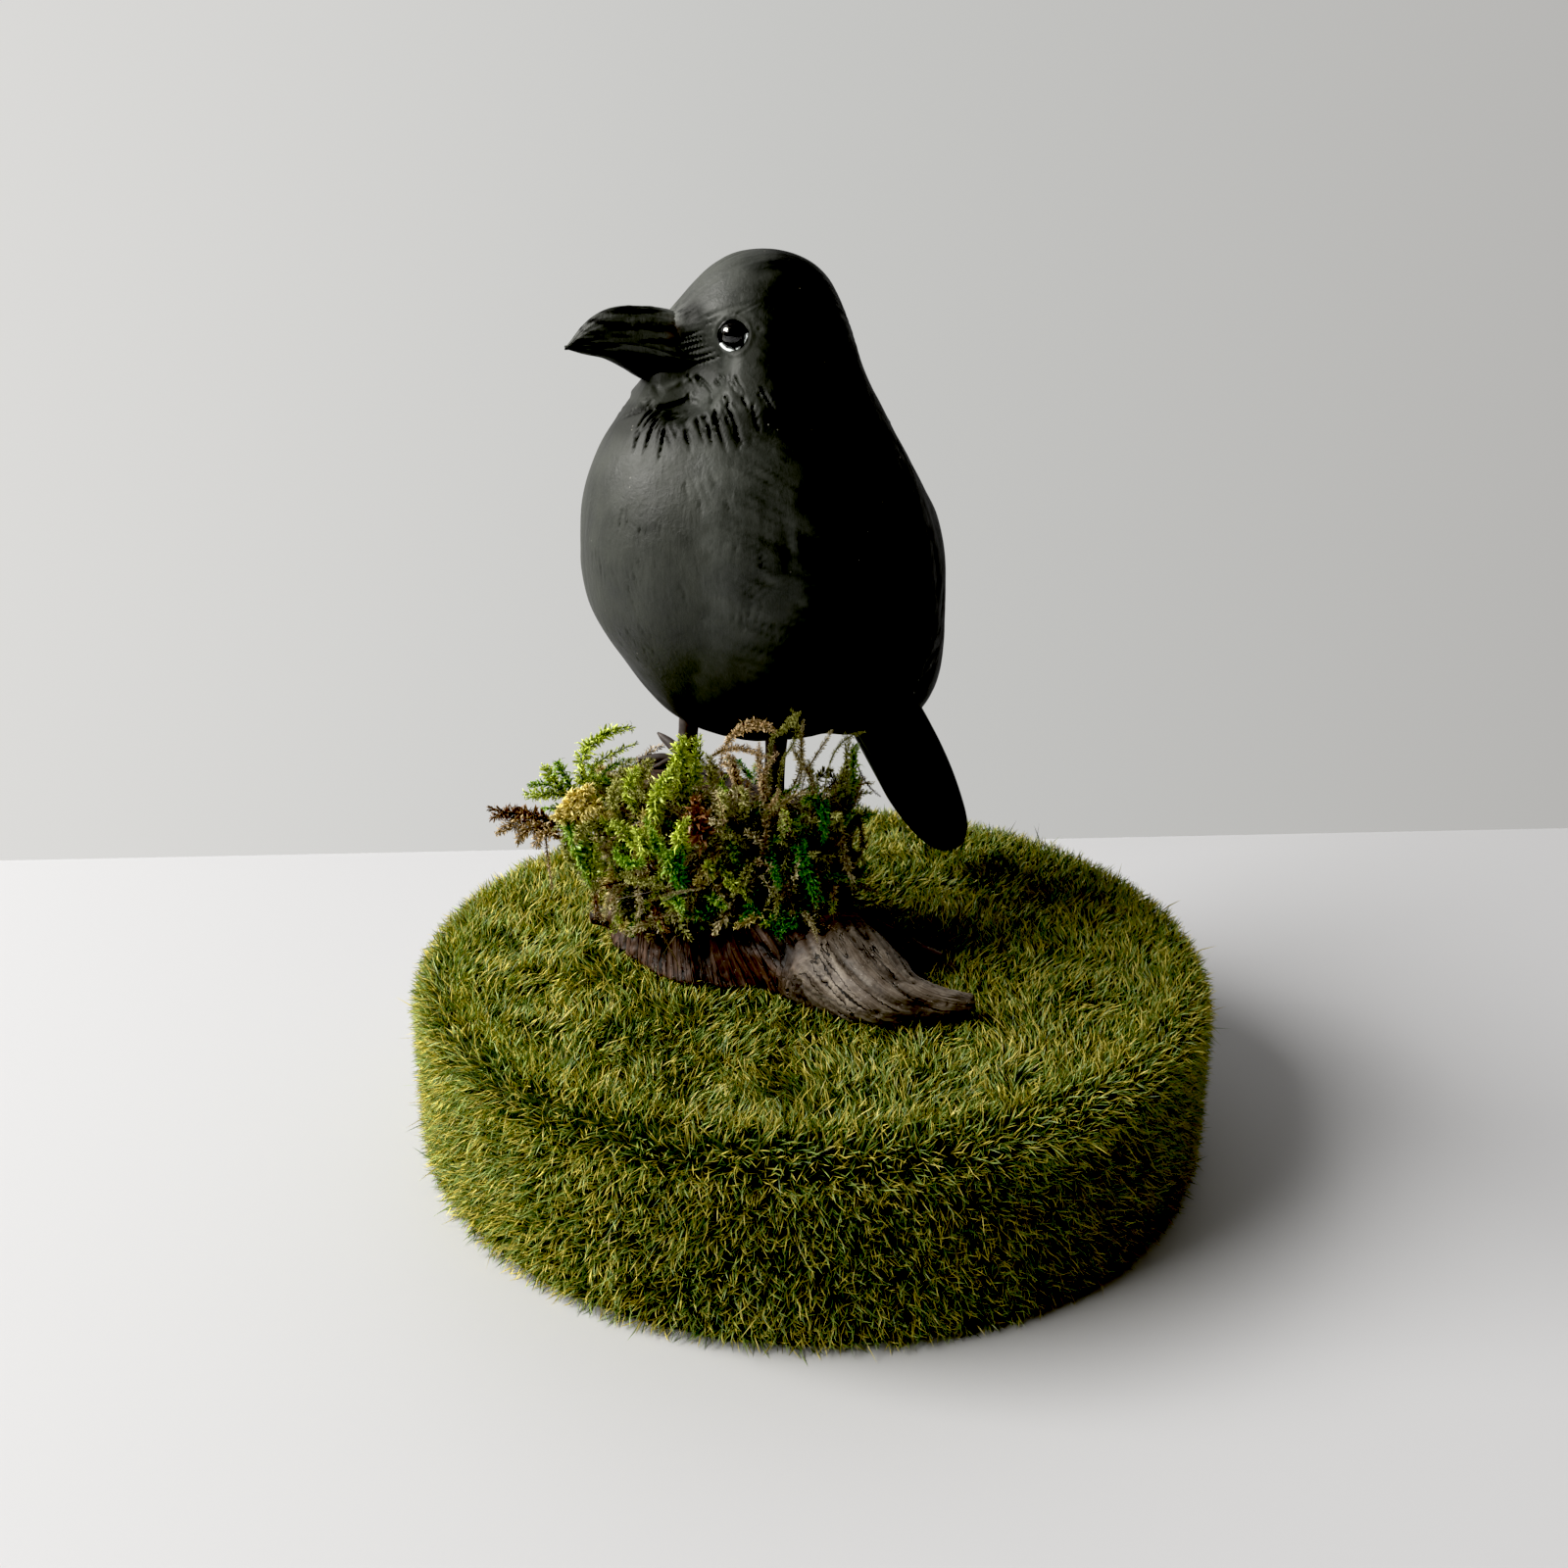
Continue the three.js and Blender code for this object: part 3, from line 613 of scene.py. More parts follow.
def wing_valley(points):
    """The valley's height: -step in front of the edge, fading forwards as exp(past / width)."""
    past = past_wing_edge(points) + 1.1 * wander(points / 5, 19)
    in_front = fall(past, -VALLEY["edge"] / 2, VALLEY["edge"] / 2)
    near_edge = np.exp(np.minimum(past, 0) / VALLEY["width"])
    below = fall(points[..., 2], VALLEY["high"] - VALLEY["fade"], VALLEY["high"])
    above = smoothstep(points[..., 2], VALLEY["low"], VALLEY["low"] + VALLEY["fade"])
    worn = np.clip(0.7 + 0.9 * wander(points / 3, 27), 0.1, 1.3)
    return -VALLEY["step"] * worn * in_front * near_edge * below * above


# %% Body skin
SPINE_LOW = body_point(LOW_AXIS, 0.0, 70.0)
SPINE_HIGH = body_point(HIGH_AXIS, 0.0, 100.5)
RINGS = 266
AROUND = 316


def crowded(count, density):
    """Numbers from 0 to 1 that lie closer together where the density is higher."""
    t = np.linspace(0, 1, 2001)
    total = np.concatenate([[0], np.cumsum((density(t[1:]) + density(t[:-1])) / 2)])
    return np.interp(np.linspace(0, 1, count), total / total[-1], t)


def body_skin():
    """Rings from the belly to the crown, finer where the throat and face are carved.

    The point on ring t at a turn is spine(t) + direction(t, turn) * reach, plus the wing valley.
    """
    t = crowded(RINGS + 1, lambda u: 1 + 1.7 * bell(u - 0.61, 0.19))[1:-1]
    from_front = lambda u: np.abs(np.mod(u - 0.01 + 0.5, 1) - 0.5)
    turn = 2 * np.pi * crowded(AROUND + 1, lambda u: 0.7 + 2.2 * bell(from_front(u), 0.13))[:-1]
    origins = SPINE_LOW + (SPINE_HIGH - SPINE_LOW) * smoothstep(t, 0.12, 0.88)[:, None]
    latitude = np.pi * (t - 0.5)[:, None, None]
    level = BODY[0] * np.cos(turn)[:, None] + BODY[1] * np.sin(turn)[:, None]
    directions = np.cos(latitude) * level + np.sin(latitude) * UP
    origins = origins[:, None]
    grid = origins + directions * reach_skin(origins, directions)[..., None]
    return grid + directions * wing_valley(grid)[..., None]


body_grid = body_skin()
print("body skin:", body_grid.shape[0], "rings of", body_grid.shape[1])

# %% [markdown]
# ### Knife and needle strokes
# The plumage is drawn with a needle and the tip of a knife. The throat is the shaggiest place, with
# deep strokes fanning out below the chin; the cheeks, the bristles between beak and eye, the flanks
# and the wing tips have lighter ones. Each stroke is a notch that is deepest near its start and
# runs out at its end, and it pushes up a small burr on each side.

# %% Strokes as arrays
rng = np.random.default_rng(41)
MIRROR_TURN = HEAD_HEADING - BODY_HEADING


def strokes_from(start, end, outward, width, depth, bend=0.0):
    """A set of strokes: rows of start, end, outward direction, width, depth and sideways bend."""
    count = len(start)
    sizes = [np.broadcast_to(np.asarray(value, float), count) for value in (width, depth, bend)]
    return np.concatenate([start, end, unit(outward), np.stack(sizes, 1)], 1)


def skin_strokes(axis, angle, up, angle_end, up_end, width, depth, bend=0.0):
    """Strokes between two places on the skin, each given by its angle and its height."""
    start, out_a = skin_places(axis, angle, up)
    end, out_b = skin_places(axis, angle_end, up_end)
    return strokes_from(start, end, out_a + out_b, width, depth, bend)


def patch(angle, up, spread, count, length, lean, width, depth):
    """Strokes scattered over a patch of the body, on both sides of it.

    The middle of the patch is at an angle and a height, spread gives its half sizes in degrees and
    millimetres, and lean is how far the strokes tilt back from straight down, in degrees.
    """
    sets = []
    for side in (1, -1):
        angles = angle + spread[0] * rng.uniform(-1, 1, count)
        heights = up + spread[1] * rng.uniform(-1, 1, count)
        run = length * rng.uniform(0.6, 1.2, count)
        tilt = np.radians(lean + rng.normal(0, 5, count))
        across = np.degrees(run * np.sin(tilt) / 18)
        cut = rng.uniform(0.6, 1.15, count)
        ends = angles + across
        sets.append(skin_strokes(LOW_AXIS, side * angles, heights, side * ends,
                                 heights - run * np.cos(tilt), width, depth * cut,
                                 rng.normal(0, 0.12, count)))
    return np.concatenate(sets)


def from_photograph(pixels, width, depth, axis_ahead=HIGH_AXIS, mirror=MIRROR_TURN):
    """Strokes given as pixels, start x and y and end x and y, carved on the side that shows.

    Those that start far enough round from straight ahead are repeated on the far side.
    """
    places = skin_seen(np.array(pixels, float).reshape(-1, 2, 2))
    angle = np.degrees(round_body(places, axis_ahead))
    again = angle[:, 0] > 2 * mirror + OUTLINE_ANGLE
    angle = np.concatenate([angle, 2 * mirror - angle[again]])
    height = np.concatenate([places[..., 2], places[again, :, 2]])
    return skin_strokes(axis_ahead, angle[:, 0], height[:, 0], angle[:, 1], height[:, 1],
                        width, depth)


def beside(rows, count, spread, shorten, seed):
    """More strokes next to the given ones: each row moved sideways by some pixels and shortened."""
    draw = np.random.default_rng(seed)
    rows = np.repeat(np.array(rows, float), count, axis=0)
    rows += np.tile(draw.normal(0, 1, (len(rows), 2)) * spread, 2)
    keep = draw.uniform(shorten, 1, (len(rows), 1))
    rows[:, 2:] = rows[:, :2] + (rows[:, 2:] - rows[:, :2]) * keep
    return rows


# %% The strokes that show
# Pixels of each stroke's start and end. The beard hangs from the chin's edge, from left to right.
BEARD = [
    (668, 413, 641, 423), (663, 416, 636, 428), (668, 417, 649, 439), (675, 420, 654, 441),
    (652, 441, 645, 463), (665, 436, 656, 465), (682, 422, 662, 448), (678, 436, 671, 473),
    (686, 423, 674, 443), (689, 423, 687, 458), (693, 424, 696, 448), (698, 425, 702, 443),
    (699, 436, 706, 462), (703, 424, 713, 446), (711, 424, 720, 454), (718, 422, 726, 439),
    (722, 431, 728, 457), (727, 421, 739, 457), (729, 415, 743, 465), (741, 421, 757, 465),
    (744, 415, 758, 449), (750, 432, 757, 455),
]
# One long cut starts behind the corner of the mouth, and shorter ones fan out over the cheek.
CHEEK = [
    (709, 383, 728, 407), (726, 404, 743, 434), (742, 386, 764, 412), (749, 383, 760, 399),
    (767, 410, 776, 444), (739, 402, 756, 419), (741, 410, 754, 436), (729, 388, 737, 403),
    (733, 383, 744, 398), (757, 404, 768, 424), (776, 394, 799, 432),
]
BRISTLES = [
    (694, 345, 721, 334), (688, 349, 727, 342), (690, 357, 729, 347), (692, 361, 731, 351),
    (703, 367, 733, 357), (711, 370, 737, 363), (697, 365, 714, 363), (698, 353, 722, 347),
]
BROW = [(720, 324, 743, 316), (719, 331, 737, 326), (750, 321, 777, 308), (738, 326, 752, 319)]
CHIN_CUTS = [(669, 395, 675, 409), (703, 403, 706, 412)]
BREAST = [
    (697, 491, 704, 514), (716, 494, 729, 517), (724, 481, 739, 514), (728, 490, 745, 508),
    (712, 512, 719, 528), (739, 514, 758, 532), (636, 519, 630, 551), (640, 519, 640, 551),
    (652, 538, 654, 562), (648, 567, 665, 597), (639, 595, 651, 627), (624, 580, 637, 612),
    (612, 568, 615, 599), (628, 585, 631, 600), (646, 585, 654, 609), (637, 641, 655, 663),
    (655, 661, 671, 676), (661, 660, 675, 672), (651, 638, 671, 663), (695, 597, 702, 619),
    (691, 602, 701, 598), (752, 554, 747, 571), (777, 550, 790, 562),
]
FLANK = [
    (773, 568, 797, 581), (774, 575, 789, 587), (752, 613, 773, 616), (760, 616, 789, 624),
    (757, 624, 789, 635), (755, 631, 778, 642), (786, 640, 807, 638), (788, 646, 807, 647),
    (790, 642, 791, 660), (812, 663, 817, 655), (770, 583, 784, 596), (780, 600, 800, 607),
]
WING_TIP = [
    (912, 684, 922, 720), (923, 678, 933, 704), (928, 688, 941, 714), (917, 690, 929, 729),
    (936, 690, 944, 709), (905, 690, 917, 727), (926, 733, 944, 727),
]
OUTLINE_ANGLE = 42


def head_strokes():
    """The beard, the cheeks, the bristles between beak and eye, the brow and the chin."""
    return np.concatenate([
        from_photograph(BEARD, 0.34, 0.66),
        from_photograph(beside(BEARD, 2, 3.2, 0.3, 5), 0.18, 0.28),
        from_photograph(CHEEK, 0.3, 0.55),
        from_photograph(beside(CHEEK, 2, 3.0, 0.3, 6), 0.2, 0.26),
        from_photograph(BRISTLES, 0.24, 0.5),
        from_photograph(beside(BRISTLES, 1, 1.6, 0.3, 7), 0.15, 0.2),
        from_photograph(BROW, 0.18, 0.16),
        from_photograph(CHIN_CUTS, 0.2, 0.3),
    ])


def body_strokes():
    """The cuts on breast, flank and wing tip that show, and patches of lighter ones elsewhere."""
    return np.concatenate([
        from_photograph(BREAST, 0.2, 0.26, LOW_AXIS, 0),
        from_photograph(beside(BREAST, 4, 12.0, 0.3, 8), 0.16, 0.1, LOW_AXIS, 0),
        from_photograph(FLANK, 0.27, 0.42, LOW_AXIS, 0),
        from_photograph(beside(FLANK, 5, 9.0, 0.1, 9), 0.2, 0.2, LOW_AXIS, 0),
        from_photograph(WING_TIP, 0.28, 0.4, LOW_AXIS, 0),
        patch(62, 83, (5, 4), 9, 4, 20, 0.34, 0.2),
        patch(64, 63, (9, 3), 12, 2.6, 50, 0.26, 0.18),
        patch(128, 61, (14, 3.5), 34, 4.5, 16, 0.3, 0.28),
        patch(118, 84, (16, 8), 46, 7, 10, 0.22, 0.14),
        patch(150, 72, (26, 8), 60, 8, 6, 0.26, 0.18),
    ])


strokes = np.concatenate([head_strokes(), body_strokes()])
print(len(strokes), "strokes")


def carve(points, strokes):
    """How far each point is cut in (negative) or pushed up by the strokes, in millimetres.

    Across a stroke the cut is depth * (1 - |x|/width) inside it, with a burr of two fifths of the
    depth beside it. Along it the depth is full from a tenth of the way on, and runs out as
    (1 - s)^0.7.
    """
    height = np.zeros(len(points))
    for row in strokes:
        start, end, outward = row[:3], row[3:6], row[6:9]
        width, depth, bend = row[9:]
        length = np.linalg.norm(end - start)
        reach = length / 2 + 3 * width + 0.6
        near = np.flatnonzero(np.square(points - (start + end) / 2).sum(1) < reach * reach)
        along = (end - start) / length
        side = unit(np.cross(along, outward))
        offset = points[near] - start
        s = offset @ along / length
        x = np.abs(offset @ side - bend * length * s * (1 - s))
        held = np.clip(s, 0, 1)
        bite = np.minimum(10 * held, 1) * (1 - held) ** 0.7 * ((s > 0) & (s < 1))
        notch = -np.clip(1 - x / (width * (0.5 + 0.5 * bite)), 0, 1)
        burr = 0.4 * bell(x - 1.3 * width, 0.45 * width)
        height[near] = np.minimum(height[near], depth * bite * notch) + depth * bite * burr
    return height


# %% [markdown]
# ### Eyelids, chin and the feel of clay
# The clay is pressed up round each bead into a thin lid. Under the beak it stays smooth, and ends
# in a small ragged step above the fringe. Everywhere else fingers leave broad shallow dents, and a
# stiff brush leaves fine lines that follow the plumage: back over the head, and down the body.

# %% Relief of the body
EYES = {side: np.mean([np.array(corner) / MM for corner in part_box(f"eye_{side}")], axis=0)
        for side in ("left", "right")}
GAZE = {side: unit(HEAD[1] * sign + 0.4 * HEAD[0]) for side, sign in (("left", 1), ("right", -1))}
BEAD_RADIUS = 1.5


def eyelid(points):
    """A thin lid at 1.35 bead radii from each eye's middle, and a seat pressed in for the bead."""
    height = np.zeros(len(points))
    for side, eye in EYES.items():
        offset = points - eye
        out = gap(offset, np.outer(offset @ GAZE[side], GAZE[side]))
        lid = 0.14 * bell(out - 1.36 * BEAD_RADIUS, 0.22)
        seat = -0.9 * fall(out, 0.8 * BEAD_RADIUS, 1.08 * BEAD_RADIUS)
        height += (gap(points, eye) < 6) * (lid + seat)
    return height


CHIN = {"edge": 94.5, "ragged": 0.45, "proud": 0.4, "fade": 98.2, "half_width": 50}


def chin_step(points):
    """The smooth chin stands proud of the throat above a ragged line, and fades up to the beak."""
    angle = np.degrees(round_body(points, HIGH_AXIS))
    ragged = CHIN["edge"] + CHIN["ragged"] * wander_on(angle / 5, 0, 5)
    above = smoothstep(points[:, 2], ragged - 0.16, ragged + 0.12)
    below_beak = fall(points[:, 2], ragged + 0.4, CHIN["fade"])
    away = np.abs(angle - MIRROR_TURN)
    sides = smoothstep(away, 2, 16) * fall(away, CHIN["half_width"] - 12, CHIN["half_width"])
    return CHIN["proud"] * above * below_beak * sides


TEMPLE_SEEN = (704, 320)
CRUMBS_SEEN = [(682, 397), (687, 395), (691, 393), (696, 392), (700, 390), (704, 388)]


def to_temple(points):
    """How far each point is from the temple on its own side of the head."""
    ahead, left, up = from_skull(points)
    return gap(together(ahead, np.abs(left), up), np.abs(from_skull(skin_seen(TEMPLE_SEEN))))


def chin_crumbs(points):
    """A torn crest of crumbs across the chin: small bumps 0.22 mm high along a line."""
    height = np.zeros(len(points))
    for place in skin_seen(CRUMBS_SEEN):
        height += 0.22 * bell(gap(points, place), 0.36) * (0.7 + 0.6 * wander(points / 0.5, 14))
    return height


HEAD_GIRTH, BODY_GIRTH = 9, 17


def brushed(points):
    """Fine lines along the plumage: noise stretched 12 times, along the head or down the body."""
    ahead, left, up = from_skull(points)
    on_head = wander_on(np.arctan2(left, up) * HEAD_GIRTH / 0.55, ahead / 6, 3)
    girth = round_body(points, LOW_AXIS) * BODY_GIRTH
    on_body = wander_on(girth / 0.6, (points[:, 2] + 0.1 * girth) / 7, 9)
    share = smoothstep(points[:, 2], 93, 99)
    mask = np.clip(0.45 + 0.8 * wander(points / 8, 11), 0.1, 1)
    front = fall(np.abs(np.degrees(girth / BODY_GIRTH)), 25, 60)
    strength = np.where(points[:, 2] > 96, 0.085, 0.075 - 0.04 * front)
    return strength * mask * (share * on_head + (1 - share) * on_body)


def dents(points):
    """Broad finger dents, shallow hammered ones and a few pits."""
    chin = bell(gap(points, head_point(9.0, 0.0, -6.0)), 5)
    broad = (0.24 * wander(points / 8, 1) + 0.1 * wander(points / 3.6, 2)) * (1 - 0.7 * chin)
    pits = -0.1 * smoothstep(wander(points / 0.9, 4), 0.7, 0.9) * (wander(points / 12, 6) > 0.15)
    return broad + pits


def body_relief(points):
    """The sum of all relief, with the fine part kept off the beads, and a thumb's temple dents."""
    away = smoothstep(np.min([gap(points, eye) for eye in EYES.values()], axis=0), 1.9, 2.5)
    fine = carve(points, strokes) + chin_step(points) + chin_crumbs(points) + brushed(points)
    temples = -0.45 * bell(to_temple(points), 1.4)
    return eyelid(points) + temples + dents(points) + away * fine


flat_points = body_grid.reshape(-1, 3)
relief = body_relief(flat_points)[:, None]
print("relief from", round(relief.min(), 2), "to", round(relief.max(), 2), "mm")
flat_points = flat_points + grid_normals(body_grid).reshape(-1, 3) * relief
body_grid = flat_points.reshape(body_grid.shape)

# %% [markdown]
# ### Beak and tail
# The beak is two halves that meet along the gape. Its heights are read off the profile at nine
# places from root to tip, and each section is a pointed arch over the flat seam. The tail is one
# flat paddle of clay with the edges of its feathers drawn on it.

# %% Beak
BEAK = {"root": 5.5, "tip": 23.2, "half_width": 5.0}
CULMEN = [2.9, 3.0, 3.16, 3.5, 3.73, 3.74, 3.25, 1.95, -0.55]
GAPE = [-2.7, -2.6, -2.3, -1.68, -1.05, -0.7, -0.6, -0.69, -0.85]
JAW = [-3.2, -3.6, -4.4, -5.0, -4.45, -3.15, -2.05, -1.6, -1.1]


def beak_half(upper):
    """Rings from root to tip: half width and height follow cosine and sine of the turn."""
    t = (1 - (1 - np.linspace(0, 1, 100)) ** 1.5)[:, None]
    close = np.sqrt(np.maximum(1 - t ** 9, 0.01))
    width = (BEAK["half_width"] * (1 - 0.82 * t ** 1.1) - (0.25 if upper else 0)) * close
    width = width if upper else width * (1 + 0.1 * (1 - t) ** 3)
    seam = through(GAPE, t) + (-0.1 if upper else 0.35)
    far = through(CULMEN if upper else JAW, t)
    turn = np.pi * np.linspace(0, 1, 54)[None, :]
    side = np.sign(np.cos(turn)) * np.abs(np.cos(turn)) ** (0.85 if upper else 0.6)
    ahead = BEAK["root"] + (BEAK["tip"] - BEAK["root"]) * t
    ridges = wander_on(turn * 3.4, t * 1.6, 13 + upper)
    scores = -np.clip(1 - np.abs(wander_on(turn * 4.5, t * 2.6, 17 + upper)) / 0.22, 0, 1)
    pocks = wander_on(turn * 9, t * 30, 18)
    groove = (0.26 * ridges + 0.2 * scores + 0.05 * pocks) * np.sin(turn) ** 0.5 * (1 - 0.6 * t)
    if not upper:
        groove = 0.45 * groove
    up = seam + (far - seam) * np.sin(turn) * np.sqrt(close)
    out = together(0 * t, np.cos(turn), np.sin(turn) * (1 if upper else -1))
    local = together(ahead, width * side, up) + groove[..., None] * out
    places = SKULL + local @ HEAD
    cuts = carve(places.reshape(-1, 3), strokes).reshape(places.shape[:2])
    return places + (cuts * fall(t, 0.3, 0.45))[..., None] * (out @ HEAD)


# %% Tail
TAIL = {"heading": 36, "start": (5.6, 11.8, 59), "end": (18.9, 21.3, 29.2), "half_width": 9,
        "half_thick": 3, "bow": 0.8, "round_from": 0.72}


def tail_paddle():
    """Flattened rings along a slightly bowed line, with a rounded end and drawn feather edges."""
    start, end = np.array(TAIL["start"]), np.array(TAIL["end"])
    axis = unit(end - start)
    across = axes_of(TAIL["heading"])[1]
    normal = unit(np.cross(axis, across))
    t = (1 - np.linspace(1, 0, 84) ** 1.4)[:, None]
    past = np.maximum(0, (t - TAIL["round_from"]) / (1 - TAIL["round_from"]))
    rounded = np.sqrt(np.maximum(1 - past ** 2.4, 0.006))
    width = TAIL["half_width"] * (0.86 + 0.2 * np.sin(np.pi * np.minimum(t * 1.1, 1))) * rounded
    thick = TAIL["half_thick"] * (1.15 - 0.45 * t) * np.sqrt(rounded)
    turn = full_turn(84)[None, :]
    place = np.cos(turn)
    edges = np.abs(np.mod(place * 2.6 + 0.5 + 0.25 * t, 1) - 0.5) * 2
    feather = -0.28 * bell(1 - edges, 0.16)
    barbs = 0.06 * wander_on(place * 14 + t * 8, t * 9, 21)
    relief = (feather + barbs) * np.abs(np.sin(turn)) ** 0.5 * smoothstep(t, 0.08, 0.2)
    t = t[..., None]
    centre = start + (end - start) * t + normal * TAIL["bow"] * np.sin(np.pi * t)
    side = (width * place)[..., None] * across
    rise = ((thick + relief) * np.sin(turn))[..., None] * normal
    return centre + side + rise


# %% Join the crow
def evaluated_mesh(name, piece):
    """The mesh of an object with its modifiers applied; the object itself is removed."""
    bpy.context.view_layer.update()
    mesh = bpy.data.meshes.new_from_object(
        piece.evaluated_get(bpy.context.evaluated_depsgraph_get()))
    mesh.name = name
    bpy.data.objects.remove(piece)
    return mesh


def joined_mesh(name, base, others):
    """Joins closed skins, given as grids, into one with a boolean union."""
    body, *tools = [add_object(name, skin_mesh(name, [grid])) for grid in (base, *others)]
    for tool in tools:
        union = body.modifiers.new("join", "BOOLEAN")
        union.operation = "UNION"
        union.solver = "MANIFOLD"
        union.object = tool
    mesh = evaluated_mesh(name, body)
    for tool in tools:
        bpy.data.objects.remove(tool)
    return mesh


crow_mesh = joined_mesh("crow_clay", body_grid, [beak_half(True), beak_half(False), tail_paddle()])
print("crow:", len(crow_mesh.polygons), "faces")

# %% [markdown]
# ### Black polymer clay
# The clay is black PVC-based modelling clay, baked and lightly burnished. It is matt in its dents
# and slightly satin where fingers smoothed it, so its roughness wanders between 0.46 and 0.64, and
# a fine bump breaks up the window's reflection. Light and shade are painted into its colour: grey
# painted light and sheen on the breast and the face's near side, which the window lights, painted
# shade between the beak and the eyes, in the temples and in the strokes' floors, and painted
# highlights on the strokes' burrs, on the chin's crumbs and in streaks along the beak. A faint
# brown wash lies at the root of the beak, and a few pale grains of dust are caught in the surface.
# Noise scales are in cells to the metre: smudges are 4 mm wide, grains of dust 1.6 mm apart in
# patches 5 mm wide, brush lines 0.5 mm, leathery cells 1.3 mm and the clay's own grain 0.4 mm wide.

# %% Clay of the crow
def black_clay():
    """Near black where dull, and grey with painted light and sheen where the window lights the
    clay, under three bumps from fine to coarse.
    """
    material, tree, surface = new_material("burnished black polymer clay")
    place = add_node(tree, "TexCoord", output="Object")
    shades = {name: add_node(tree, "Attribute", output="Fac", attribute_name=name)
              for name in ("burnish", "beak", "wash")}
    smudge = add_node(tree, "TexNoise",
                      {"Vector": place, "Scale": 260.0, "Detail": 4.0, "Roughness": 0.6})
    dust = add_node(tree, "TexVoronoi", {"Vector": place, "Scale": 620.0})
    where = add_node(tree, "TexNoise", {"Vector": place, "Scale": 190.0, "Detail": 1.0})
    dusty = add_node(tree, "Math", [add_node(tree, "MapRange", [dust, 0.075, 0.045]),
                                    add_node(tree, "MapRange", [where, 0.56, 0.62])],
                     operation="MULTIPLY")
    colour = add_node(tree, "ValToRGB", [smudge], stops=[(0.3, "#0e0f0e"), (0.7, "#161715")])
    # Grey painted light and sheen, for the breast and face that the window lights.
    painted_light = add_node(tree, "ValToRGB", [smudge], stops=[(0.3, "#434642"), (0.7, "#5c5f59")])
    # Painted light, the beak's blacker clay with painted shade on the face, the brown wash and the
    # dust.
    for share, other, blend in ((shades["burnish"], painted_light, "MIX"),
                                (shades["beak"], "#bcbdb8", "MULTIPLY"),
                                (shades["wash"], "#524338", "MIX"), (dusty, "#8c8a82", "MIX")):
        colour = add_node(tree, "Mix", {0: share, 6: colour, 7: other}, 2, data_type="RGBA",
                          blend_type=blend)
    downward = add_node(tree, "Mapping", {"Vector": place, "Scale": (1.0, 1.0, 0.16)})
    brushed = {"Vector": downward, "Scale": 2100.0, "Detail": 4.0, "Roughness": 0.6}
    leather = {"Vector": place, "Scale": 800.0, "Detail": 5.0, "Roughness": 0.6,
               "Distortion": 0.8}
    grain = {"Vector": place, "Scale": 2600.0, "Detail": 3.0, "Roughness": 0.55}
    finish = {"Base Color": colour, "IOR": 1.5}
    for pattern, strength, distance in ((grain, 0.4, 0.00007), (brushed, 0.5, 0.0001),
                                        (leather, 0.35, 0.0002)):
        bump = {"Height": add_node(tree, "TexNoise", pattern), "Strength": strength,
                "Distance": distance}
        if "Normal" in finish:
            bump["Normal"] = finish["Normal"]
        finish["Normal"] = add_node(tree, "Bump", bump)
    finish["Roughness"] = add_node(tree, "MapRange", [smudge, 0.3, 0.7, 0.46, 0.64])
    finish["Specular IOR Level"] = add_node(tree, "MapRange",
                                            [shades["burnish"], 0.0, 1.0, 0.12, 0.5])
    fill_inputs(tree, surface, finish)
    return material


# %% Where light and shade are painted on the clay
def smooth_chin(points):
    """1 under the root of the beak, on the smooth grey chin."""
    ahead, _, up = from_skull(points)
    below = smoothstep(-up, 3.0, 3.7) * fall(-up, 6.2, 7.0)
    return below * smoothstep(ahead, 5, 7) * fall(ahead, 13.2, 14.8)


def painted_face_shade(points):
    """1 between the beak and the eyes and in the temples' dents: painted shade, where these hollows
    turn away from the window.
    """
    ahead, _, up = from_skull(points)
    level = smoothstep(up, -5.0, -3.8) * fall(up, 1.6, 3.2)
    face = smoothstep(ahead + 1.2 * wander(points / 1.5, 24), 5.0, 8.2) * level
    return np.maximum(0.6 * face, np.minimum(1.3 * bell(to_temple(points), 1.9), 1))


def painted_body_light(points, patchy):
    """Painted light on the body: falls with the angle from straight ahead, and towards the belly,
    in patches. The second value darkens slanting streaks round the side.
    """
    angle = np.abs(np.degrees(round_body(points, LOW_AXIS)))
    share = fall(angle + 16 * patchy, 40, 76) * smoothstep(points[:, 2] + 3 * patchy, 53, 75)
    level, height = angle * 0.3, points[:, 2]
    slanting = wander_on((height + 0.6 * level) / 0.4, (level - 0.6 * height) / 3, 35)
    return share, 1 - 0.4 * np.clip(slanting + 0.2, 0, 1) * smoothstep(angle, 25, 45)


def painted_stroke_shade(points):
    """Painted shade below the chin's edge and in the floors of the beard's strokes, and painted
    highlights on the burrs beside them.
    """
    ahead, _, up = from_skull(points)
    marks = carve(points, strokes)
    height = points[:, 2]
    fringe = smoothstep(height, 90.3, 92) * fall(height, 94.4, 95.2)
    chin = smoothstep(ahead, 4, 6) * fall(-up, 6.4, 7.2)
    shaggy = smoothstep(height, 89, 91.5) * smoothstep(-up, 1.5, 4) * (1 - chin)
    missed = 0.22 + 0.26 * fringe + 1.8 * np.maximum(-marks, 0) - 9 * np.maximum(marks, 0)
    return 1 - shaggy * np.clip(missed, -0.7, 0.8)


